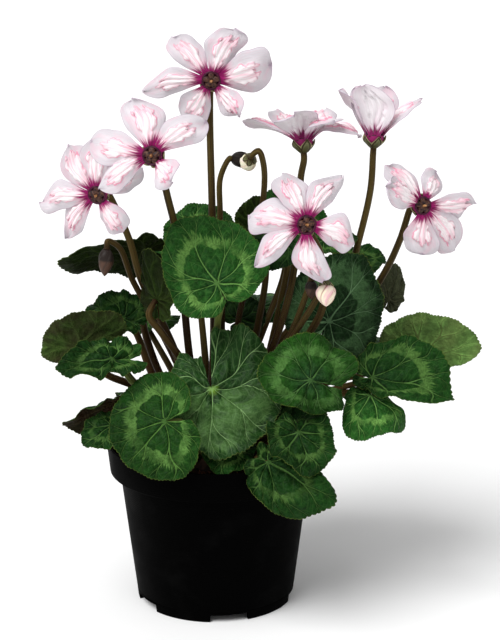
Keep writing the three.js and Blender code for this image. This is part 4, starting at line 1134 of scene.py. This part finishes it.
def stem(points, steps, radii, sides, number):
    """A tube that narrows from its root to its head and widens at its very end."""
    path = smooth_curve(points, steps)
    share = np.linspace(0, 1, len(path))
    root, head, flare = radii
    girth = root + (head - root) * share + flare * smoothstep(STEM_FLARE_START, 1, share)
    return tube(path, girth, sides, number)


def stem_parts():
    leaf_roots = crown_roots([leaf.get("via", [leaf["at"]])[0] for leaf in LEAVES], PETIOLE_RINGS)
    stalk_roots = crown_roots([item["stalk"][0] for item in FLOWERS + BUDS], STALK_RINGS)
    parts = []
    for i, (leaf, root) in enumerate(zip(LEAVES, leaf_roots), 1):
        number = i + GREEN_MARK if i in GREEN_PETIOLES else i
        parts.append(stem(petiole_points(leaf, root), PETIOLE_STEPS, PETIOLE_RADII, PETIOLE_SIDES, number))
    for i, (flower, root) in enumerate(zip(FLOWERS, stalk_roots), FIRST_STALK_NUMBER):
        points = stalk_points(flower, flower["face"], FLOWER_NECK, root)
        parts.append(stem(points, STALK_STEPS, STALK_RADII, STALK_SIDES, i))
    for i, (bud, root) in enumerate(zip(BUDS, stalk_roots[len(FLOWERS):]), FIRST_BUD_STALK_NUMBER):
        points = stalk_points(bud, bud["point"], SHUT_BUD_NECK if bud["shut"] else BUD_NECK, root)
        parts.append(stem(points, STALK_STEPS, BUD_STALK_RADII, BUD_STALK_SIDES, i))
    return parts


def tuber_part():
    """A flattened, slightly lumpy ball."""
    rows, columns = 25, 48
    up = np.linspace(0, np.pi, rows)[:, None]
    turn = all_round(columns)
    lumps = 1 + 0.03 * np.sin(3 * turn + 2 * up) + 0.02 * np.sin(7 * turn - 4 * up)
    radius = TUBER_RADIUS * TUBER_SKIN * lumps * np.sin(up)
    height = TUBER_CENTRE + TUBER_HALF_HEIGHT * TUBER_SKIN * np.cos(up)
    points = rows_of(radius * np.cos(turn), radius * np.sin(turn), height)
    return points, grid_triangles(rows, columns)[:, ::-1], 1, np.zeros_like(points)


def make_stems():
    points, triangles, kinds, rows = join_parts([tuber_part()] + stem_parts())
    bark = plain_material("tuber_bark", rgb(38, 25, 18), rgb(74, 52, 38), 260.0, 0.8)
    make_piece("stems", "tuber_and_stems", points, triangles, [stalk_material(), bark], kinds,
               {"stalk": rows})


# Flowers

def flower_frame(facing):
    face = unit(facing)
    top = np.array([0.0, 1.0, 0.0] if abs(face[2]) > 0.9 else [0.0, 0.0, 1.0])
    top = unit(top - face * top.dot(face))
    return np.stack([np.cross(top, face), top, face])


def petal_width(share, sharp):
    """A petal's width along its length: a narrow root, a broad middle, a blunt or a pointed tip."""
    rise = np.sin(np.pi / 2 * np.minimum(share / PETAL_BROAD, 1)) ** 1.3
    ahead = np.maximum(share - PETAL_BROAD, 0) / (1 - PETAL_BROAD)
    tip = np.maximum(1 - ahead ** (2.6 - 1.3 * sharp), 0) ** (1 / (2.2 - 1.2 * sharp))
    root = PETAL_ROOT_WIDTH + (1 - PETAL_ROOT_WIDTH) * rise
    return np.where(share < PETAL_BROAD, root, np.maximum(tip, PETAL_TIP_WIDTH))


def crest_mask(along, across, seed):
    """Where the petal's middle is raised: it widens from the root and ends in a ragged fringe."""
    ragged = 0.06 * np.sin(13 * across + 3 * seed) + 0.04 * np.sin(31 * across - seed)
    end = CREST_END + 0.05 * math.sin(2 * seed) + ragged - 0.2 * across ** 2
    reach = CREST_WIDTH + CREST_WIDENING * smoothstep(0.08, 0.5, along)
    reach = reach + 0.06 * np.sin(21 * along + seed) + 0.04 * np.sin(43 * along - 2 * seed)
    middle = 0.12 * math.sin(seed) * along
    ends = smoothstep(end + 0.02, end - 0.02, along) * smoothstep(0.0, 0.1, along)
    return ends * smoothstep(reach + 0.06, reach - 0.04, np.abs(across - middle))


def petal_height(shape, along, across, half, crest, seed):
    """How far a petal rises from its plain bend: its crest and ruffles, its rolled tip and its cup."""
    ridges = 0.75 + 0.25 * np.cos(17 * across + 1.5 * np.sin(6 * along + seed))
    edge = np.abs(across) ** 2.2 * smoothstep(0.15, 0.6, along)
    waves = 1.4 * np.sin(5 * along + 1.7 * np.sign(across) + seed)
    waves = waves + 0.3 * np.sin(15 * along + 4 * across + 2 * seed)
    roll = PETAL_TIP_ROLL * smoothstep(0.65, 1, along) * np.sin(2.2 * across + seed)
    height = CREST_HEIGHT * crest * ridges + shape["ruffle"] * RUFFLE * edge * waves + roll
    return height - PETAL_CUP * half * across ** 2


def petal_points(shape, along, across, seed):
    """The petal's middle surface in the flower's directions, and its crest."""
    turn = math.radians(shape["angle"])
    outward = np.array([math.sin(turn), math.cos(turn), 0])
    sideways = np.array([-math.cos(turn), math.sin(turn), 0])
    face = np.array([0, 0, 1.0])
    length, lift, slope = shape["length"], shape["lift"], shape["bend"]
    pitch = lift + slope * along
    uneven = PETAL_TIP_UNEVEN * length * np.sin(3 * across + 2 * seed) * smoothstep(0.75, 1, along)
    reach = PETAL_ROOT + length * (np.sin(pitch) - math.sin(lift)) / slope + uneven
    rise = length * (math.cos(lift) - np.cos(pitch)) / slope - PETAL_SINK
    sides = np.sin(8 * along + seed) * np.sign(across) * smoothstep(0.3, 0.7, along)
    half = shape["width"] / 2 * petal_width(along, shape["sharp"]) * (1 + PETAL_SIDE_UNEVEN * sides)
    normal = -np.sin(pitch)[:, None] * outward + np.cos(pitch)[:, None] * face
    spin = (shape["twist"] * along)[:, None]
    over = sideways * np.cos(spin) + normal * np.sin(spin)
    above = normal * np.cos(spin) - sideways * np.sin(spin)
    shift = shape["sweep"] * length * along ** 2
    shift = shift + shape["corner"] * shape["width"] / 2 * smoothstep(0.5, 1, along)
    crest = crest_mask(along, across, seed)
    height = petal_height(shape, along, across, half, crest, seed)
    points = outward * reach[:, None] + face * rise[:, None] + sideways * shift[:, None]
    return points + over * (half * across)[:, None] + above * height[:, None], crest


def petal_part(shape, seed):
    share = np.linspace(0, 1, PETAL_ROWS)
    share = share + 0.04 * np.sin(np.pi * share) * share
    along, across = np.meshgrid(share, np.linspace(1, -1, PETAL_COLUMNS), indexing="ij")
    along, across = along.ravel(), across.ravel()
    points, crest = petal_points(shape, along, across, seed)
    grid = np.arange(len(along)).reshape(PETAL_ROWS, PETAL_COLUMNS)
    border = np.concatenate([grid[0, :-1], grid[:-1, -1], grid[-1, :0:-1], grid[:0:-1, 0]])
    thickness = PETAL_THICKNESS * (1 - 0.5 * smoothstep(0.7, 1.0, np.maximum(np.abs(across), along)))
    triangles = grid_triangles(PETAL_ROWS, PETAL_COLUMNS, around=False)
    solid, faces, kinds = sheet(points, triangles, border, thickness)
    return solid, faces, kinds, np.tile(rows_of(along, across, crest), (2, 1))


def eye_parts():
    """The flower's mouth: a cup, five dark anthers that fill it, and the style."""
    segments = 40
    outside = [(AXIS_RADIUS, -THROAT_DEPTH), (3.6, -THROAT_DEPTH), (4.8, -3.8), (THROAT_RADIUS, -2.4)]
    lip = [(THROAT_RADIUS, -0.2), (THROAT_RADIUS - 0.4, 0.4), (THROAT_RADIUS - 1.1, 0.1)]
    inside = [(3.3, -2.2), (AXIS_RADIUS, -3.0)]
    points, triangles, _, rows = lathe_part(outside + lip + inside, 1, segments)
    kinds = np.tile(np.repeat([1, 1, 1, 1, 2, 2, 2, 2], segments), 2)
    parts = [(points, triangles, kinds, rows)]
    for i in range(ANTHERS):
        turn = math.radians(360 * i / ANTHERS + ANTHER_FIRST_ANGLE)
        outward = np.array([math.cos(turn), math.sin(turn), 0])
        place = outward * ANTHER_PLACE + [0, 0, -ANTHER_DEPTH]
        parts.append(blob_part(place, outward + [0, 0, -ANTHER_SLOPE], ANTHER_SIZE, 3))
    parts.append(blob_part([0, 0, 1.1], [0.15, 0.1, 1], STYLE_SIZE, 4))
    return parts


def make_flowers():
    pattern = petal_group()
    throat = plain_material("throat", rgb(74, 14, 46), rgb(52, 12, 34), 500.0, 0.5)
    anther = plain_material("anther", rgb(32, 15, 22), rgb(92, 60, 46), 900.0, 0.5)
    style = plain_material("style", rgb(128, 84, 52), rgb(186, 136, 88), 900.0, 0.5)
    for i, flower in enumerate(FLOWERS, 1):
        front = petal_material(f"petal_front_{i}", pattern, PETAL_FRONT)
        back = petal_material(f"petal_back_{i}", pattern, PETAL_BACK)
        parts = eye_parts()
        numbers = [np.zeros(sum(len(part[0]) for part in parts))]
        for k, shape in enumerate(flower["petals"]):
            seed = 2.3 * i + 1.1 * k
            parts.append(petal_part(shape, seed))
            numbers.append(np.full(len(parts[-1][0]), seed))
        points, triangles, kinds, rows = join_parts(parts)
        points = points @ flower_frame(flower["face"]) + np.array(flower["at"])
        attributes = {"petal": rows, "petal_number": rows_of(np.concatenate(numbers), 0, 0)}
        make_piece(f"bloom_{i}", f"flower_{i}_petals", points, triangles,
                   [front, back, throat, anther, style], kinds, attributes)


def calyx_mesh(radius, height, lobe):
    """A cup of five lobes that hug what they hold: the lower the lobe's power, the narrower they are."""
    turn = all_round(CALYX_COLUMNS)
    gap = np.abs((5 * turn / (2 * np.pi) + 0.5) % 1 - 0.5) * 2
    top = -height * (CALYX_TIP + CALYX_CUT * gap ** lobe)
    floor = -height - CALYX_GAP
    foot = floor - CALYX_FOOT
    inner = radius + CALYX_GAP
    outer = inner + 0.7 * CALYX_WALL
    rings = [(CALYX_NECK * outer, foot - CALYX_NECK_DROP, 0)]
    for level in np.linspace(0, 1, CALYX_LEVELS):
        z = foot + (top - foot) * level
        rise = np.clip((z - foot) / (CALYX_SHOULDER * (height + CALYX_FOOT)), 0, 1)
        bulge = outer * (0.5 + 0.5 * np.sin(np.pi / 2 * rise))
        rings.append((bulge + 0.3 * level ** 3, z, level))
    edge = rings[-1][0]
    rings.append((edge - CALYX_LIP, top - 0.1, 1))
    rings.append((np.minimum(inner, edge) * CALYX_FLOOR, floor + 0.1, 0))
    points = [rows_of(r * np.cos(turn), r * np.sin(turn), z) for r, z, level in rings]
    points.append([[0, 0, foot - 1.0], [0, 0, floor + 0.05]])
    rows = [rows_of((1 - level) * (1 - 0.8 * gap) + 0.1 * (1 - gap), level, gap) for r, z, level in rings]
    rows.append([[1, 0, 0], [1, 0, 0]])
    return np.concatenate(points), tube_triangles(len(rings), CALYX_COLUMNS), np.concatenate(rows)


def make_calyxes():
    skin = calyx_material()
    cups = [(f"flower_{i}", flower["at"], flower["face"], THROAT_RADIUS, THROAT_DEPTH, FLOWER_LOBE)
            for i, flower in enumerate(FLOWERS, 1)]
    cups += [(f"bud_{i}", bud["at"], bud["point"], bud["radius"] * BUD_WAIST, BUD_CALYX_HEIGHT, BUD_LOBE)
             for i, bud in enumerate(BUDS, 1) if not bud["shut"]]
    for name, at, facing, radius, height, lobe in cups:
        points, triangles, rows = calyx_mesh(radius, height, lobe)
        points = points @ flower_frame(facing) + np.array(at)
        make_piece(f"sepals_{name}", f"{name}_calyx", points, triangles, [skin],
                   attributes={"sepal": rows})


def bud_mesh(length, radius, shift):
    """A bud of five petals wound round each other, each edge overlapping the next."""
    share = np.linspace(0, 1, BUD_ROWS)[:, None]
    turn = all_round(BUD_COLUMNS)
    girth = radius * np.sin(np.pi * np.clip(share, 0.002, 0.998) ** BUD_LEAN) ** BUD_FULLNESS
    twist = (turn / (2 * np.pi) - BUD_TWIST * share / (2 * np.pi)) % 1
    step = (5 * twist) % 1
    girth = girth * (0.9 + 0.12 * step ** 1.5 - 0.08 * smoothstep(0.92, 1.0, step))
    points = rows_of(girth * np.cos(turn), girth * np.sin(turn), length * share + shift)
    return points, grid_triangles(BUD_ROWS, BUD_COLUMNS), rows_of(share, twist, turn)


def make_buds():
    cream = bud_material("bud_cream", rgb(250, 246, 214), rgb(248, 232, 220), rgb(206, 176, 160), -1.0)
    flushed = bud_material("bud_flushed", rgb(250, 240, 214), rgb(240, 190, 196), rgb(170, 90, 70), -1.0)
    dark = bud_material("bud_dark", rgb(78, 54, 42), rgb(48, 34, 24), rgb(30, 20, 15), 0.45)
    looks = [cream, flushed, dark, dark, dark]
    for i, (bud, look) in enumerate(zip(BUDS, looks), 1):
        shift = 0 if bud["shut"] else -BUD_CALYX_HEIGHT
        points, triangles, rows = bud_mesh(bud["length"], bud["radius"], shift)
        points = points @ flower_frame(bud["point"]) + np.array(bud["at"])
        make_piece(f"wound_bud_{i}", f"bud_{i}", points, triangles, [look], attributes={"bud": rows})


# Pot and peat

def rounded(corners, radius, steps=4):
    """A profile with its inner corners rounded."""
    corners = [np.array(c, float) for c in corners]
    path = [corners[0]]
    for before, corner, after in zip(corners, corners[1:], corners[2:]):
        cut = min(radius, np.linalg.norm(before - corner) / 2.1, np.linalg.norm(after - corner) / 2.1)
        start, end = corner + unit(before - corner) * cut, corner + unit(after - corner) * cut
        for t in np.linspace(0, 1, steps):
            path.append((1 - t) ** 2 * start + 2 * (1 - t) * t * corner + t ** 2 * end)
    return path + [corners[-1]]


def cut(obj, tools):
    """Takes the tools' shapes out of an object and deletes them."""
    for tool in tools:
        modifier = obj.modifiers.new("cut", "BOOLEAN")
        modifier.object = tool
        modifier.operation = "DIFFERENCE"
        modifier.solver = "EXACT"
    bpy.context.view_layer.update()
    graph = bpy.context.evaluated_depsgraph_get()
    mesh = bpy.data.meshes.new_from_object(obj.evaluated_get(graph))
    obj.modifiers.clear()
    obj.data = mesh
    for tool in tools:
        bpy.data.objects.remove(tool)


def prism(outline, angle, low, high):
    """An upright prism on an outline that runs anticlockwise, turned about the Z axis."""
    c, s = math.cos(angle), math.sin(angle)
    outline = np.asarray(outline, float) @ np.array([[c, s], [-s, c]])
    count = len(outline)
    points = [np.column_stack([outline, np.full(count, z)]) for z in (low, high)]
    i = np.arange(count)
    after = (i + 1) % count
    walls = [rows_of(i, after, after + count), rows_of(i, after + count, i + count)]
    fan = np.arange(1, count - 1)
    caps = [rows_of(0, fan + 1, fan), rows_of(0, fan, fan + 1) + count]
    return np.concatenate(points), np.concatenate(walls + caps)


def pot_profile():
    floor_top = FOOT_RING + POT_WALL
    slope = (SHOULDER_RADIUS - FOOT_RADIUS) / COLLAR_FOOT
    return [
        (AXIS_RADIUS, FOOT_RING), (FOOT_RADIUS - FOOT_RING_WIDTH, FOOT_RING),
        (FOOT_RADIUS - FOOT_RING_WIDTH + FOOT_RING_SLOPE, 0), (FOOT_RADIUS - FOOT_DRAFT, 0),
        *[(FOOT_RADIUS + out, height) for out, height in FOOT_GROOVE],
        (SHOULDER_RADIUS, COLLAR_FOOT - SHOULDER_DROP), (COLLAR_LOW_RADIUS, COLLAR_FOOT),
        (RIM_RADIUS, POT_HEIGHT), (RIM_RADIUS - POT_WALL, POT_HEIGHT),
        (COLLAR_LOW_RADIUS - POT_WALL, COLLAR_FOOT + POT_WALL), (SHOULDER_RADIUS - POT_WALL, COLLAR_FOOT),
        (FOOT_RADIUS + slope * floor_top - POT_WALL, floor_top), (AXIS_RADIUS, floor_top),
    ]


def make_pot():
    """The pot, with notches cut through its foot ring and drain holes through its floor."""
    points, triangles, *_ = lathe_part(rounded(pot_profile(), POT_EDGE), 0, POT_SEGMENTS)
    pot = make_piece("pot_body", "pot", points, triangles, [pot_material()])
    inner, outer, side = FOOT_RADIUS - NOTCH_REACH, FOOT_RADIUS + NOTCH_REACH, NOTCH_WIDTH / 2
    notch = [(inner, -side), (outer, -side), (outer, side), (inner, side)]
    drain = [(DRAIN_CIRCLE + DRAIN_RADIUS * math.cos(t), DRAIN_RADIUS * math.sin(t))
             for t in np.linspace(0, 2 * math.pi, DRAIN_SIDES, endpoint=False)]
    tools = []
    for i in range(FOOT_NOTCHES):
        angle = math.radians(NOTCH_FIRST_ANGLE + 360 * i / FOOT_NOTCHES)
        tools.append(new_object(f"notch_{i}", *prism(notch, angle, *NOTCH_HEIGHTS)))
        tools.append(new_object(f"drain_{i}", *prism(drain, angle, *DRAIN_HEIGHTS)))
    cut(pot, tools)
    pot.data.set_sharp_from_angle(angle=math.radians(POT_SHARP_ANGLE))


def soil_height(x, y):
    grain = np.sin(x * 0.21 + 1) * np.cos(y * 0.17) + 0.5 * np.sin(x * 0.43 - y * 0.38)
    return SOIL_TOP + SOIL_RELIEF * grain - CROWN_DIP * np.exp(-((np.hypot(x, y) / CROWN_DIP_SPREAD) ** 2))


def make_soil():
    """Crumbly peat with loose fibres on it."""
    top_radius = COLLAR_LOW_RADIUS - POT_WALL - SOIL_SIDE_GAP
    turn = all_round(POT_SEGMENTS)
    radius = top_radius * np.linspace(1, 0.002, SOIL_RINGS)[:, None]
    x, y = radius * np.cos(turn), radius * np.sin(turn)
    top = rows_of(x, y, soil_height(x, y))
    for point in top:
        place = Vector((point[0] * CRUMBS_PER_MM, point[1] * CRUMBS_PER_MM, 0))
        point[2] += CRUMB_HEIGHT * noise.fractal(place, 0.7, 2.2, 4)
    side = [
        (AXIS_RADIUS, SOIL_FLOOR), (FOOT_RADIUS - POT_WALL - SOIL_FLOOR_GAP, SOIL_FLOOR),
        (SHOULDER_RADIUS - POT_WALL - SOIL_SIDE_GAP, COLLAR_FOOT),
        (top_radius, COLLAR_FOOT + POT_WALL + SOIL_SIDE_GAP),
    ]
    points = np.concatenate([lathe_part(side, 0, POT_SEGMENTS)[0], top])
    triangles = grid_triangles(len(side) + SOIL_RINGS, POT_SEGMENTS)
    parts = [(points, triangles, 0, np.zeros_like(points))] + fibre_parts(top_radius - FIBRE_EDGE_GAP)
    points, triangles, kinds, _ = join_parts(parts)
    fibre = plain_material("fibre", rgb(88, 46, 30), rgb(140, 88, 56), 300.0, 0.8)
    make_piece("peat", "soil", points, triangles, [soil_material(), fibre], kinds)


def fibre_parts(reach):
    """Loose curved fibres that lie on the peat, within a distance of its middle."""
    chance = np.random.default_rng(FIBRE_SEED)
    parts = []
    for _ in range(FIBRES):
        radius = reach * math.sqrt(chance.uniform(0.12, 1))
        around = chance.uniform(0, 2 * math.pi)
        heading = chance.uniform(0, 2 * math.pi)
        length = chance.uniform(3, 9)
        t = np.linspace(-0.5, 0.5, FIBRE_POINTS)
        turn = heading + chance.uniform(-1.2, 1.2) * t
        x = radius * math.cos(around) + length * t * np.cos(turn)
        y = radius * math.sin(around) + length * t * np.sin(turn)
        if (np.hypot(x, y) >= reach).any():
            continue
        z = soil_height(x, y) + 0.5 + chance.uniform(0, 0.7) * np.cos(np.pi * t)
        radii = np.full(FIBRE_POINTS, chance.uniform(0.12, 0.28))
        points, triangles, *_ = tube(rows_of(x, y, z), radii, FIBRE_SIDES, 0)
        parts.append((points, triangles, 1, np.zeros_like(points)))
    return parts


# Stage

# Soft suns: the turn of each in degrees, its strength, and how wide it looks in degrees.
LAMPS = (("key", (38, 0, -44), 3.0, 46), ("fill", (58, 0, 62), 0.3, 70), ("back", (52, 0, 168), 0.5, 80))
STUDIO_LIGHT = 0.33
FLOOR_SIZE = 20.0


def make_floor():
    mesh = bpy.data.meshes.new("floor")
    corners = [(x * FLOOR_SIZE, y * FLOOR_SIZE, 0) for x, y in ((-1, -1), (1, -1), (1, 1), (-1, 1))]
    mesh.from_pydata(corners, [], [(0, 1, 2, 3)])
    floor = bpy.data.objects.new("floor", mesh)
    bpy.context.scene.collection.objects.link(floor)
    skin = Skin("pale_floor", 0.9, 0.0)
    skin.shader.inputs["Base Color"].default_value = rgb(250, 250, 250)
    mesh.materials.append(skin.material)


def make_lights():
    world = bpy.data.worlds.new("studio")
    bpy.context.scene.world = world
    world.use_nodes = True
    world.node_tree.nodes["Background"].inputs["Color"].default_value = (1, 1, 1, 1)
    world.node_tree.nodes["Background"].inputs["Strength"].default_value = STUDIO_LIGHT
    for name, turn, strength, spread in LAMPS:
        light = bpy.data.lights.new(name, "SUN")
        light.energy = strength
        light.angle = math.radians(spread)
        lamp = bpy.data.objects.new(name, light)
        lamp.rotation_euler = [math.radians(a) for a in turn]
        bpy.context.scene.collection.objects.link(lamp)
    bpy.context.scene.view_settings.view_transform = "Standard"


def make_camera():
    camera = bpy.data.cameras.new("camera")
    camera.lens = CAMERA_LENS
    camera.sensor_width = CAMERA_SENSOR
    camera.clip_end = CAMERA_REACH
    obj = bpy.data.objects.new("camera", camera)
    obj.location = [(a + b) * MM for a, b in zip(CAMERA_PLACE, POT_AXIS)]
    obj.rotation_euler = (math.radians(CAMERA_TILT), 0, 0)
    bpy.context.scene.collection.objects.link(obj)
    bpy.context.scene.camera = obj


make_camera()
make_floor()
make_lights()
make_pot()
make_soil()
make_stems()
make_leaves()
make_flowers()
make_calyxes()
make_buds()
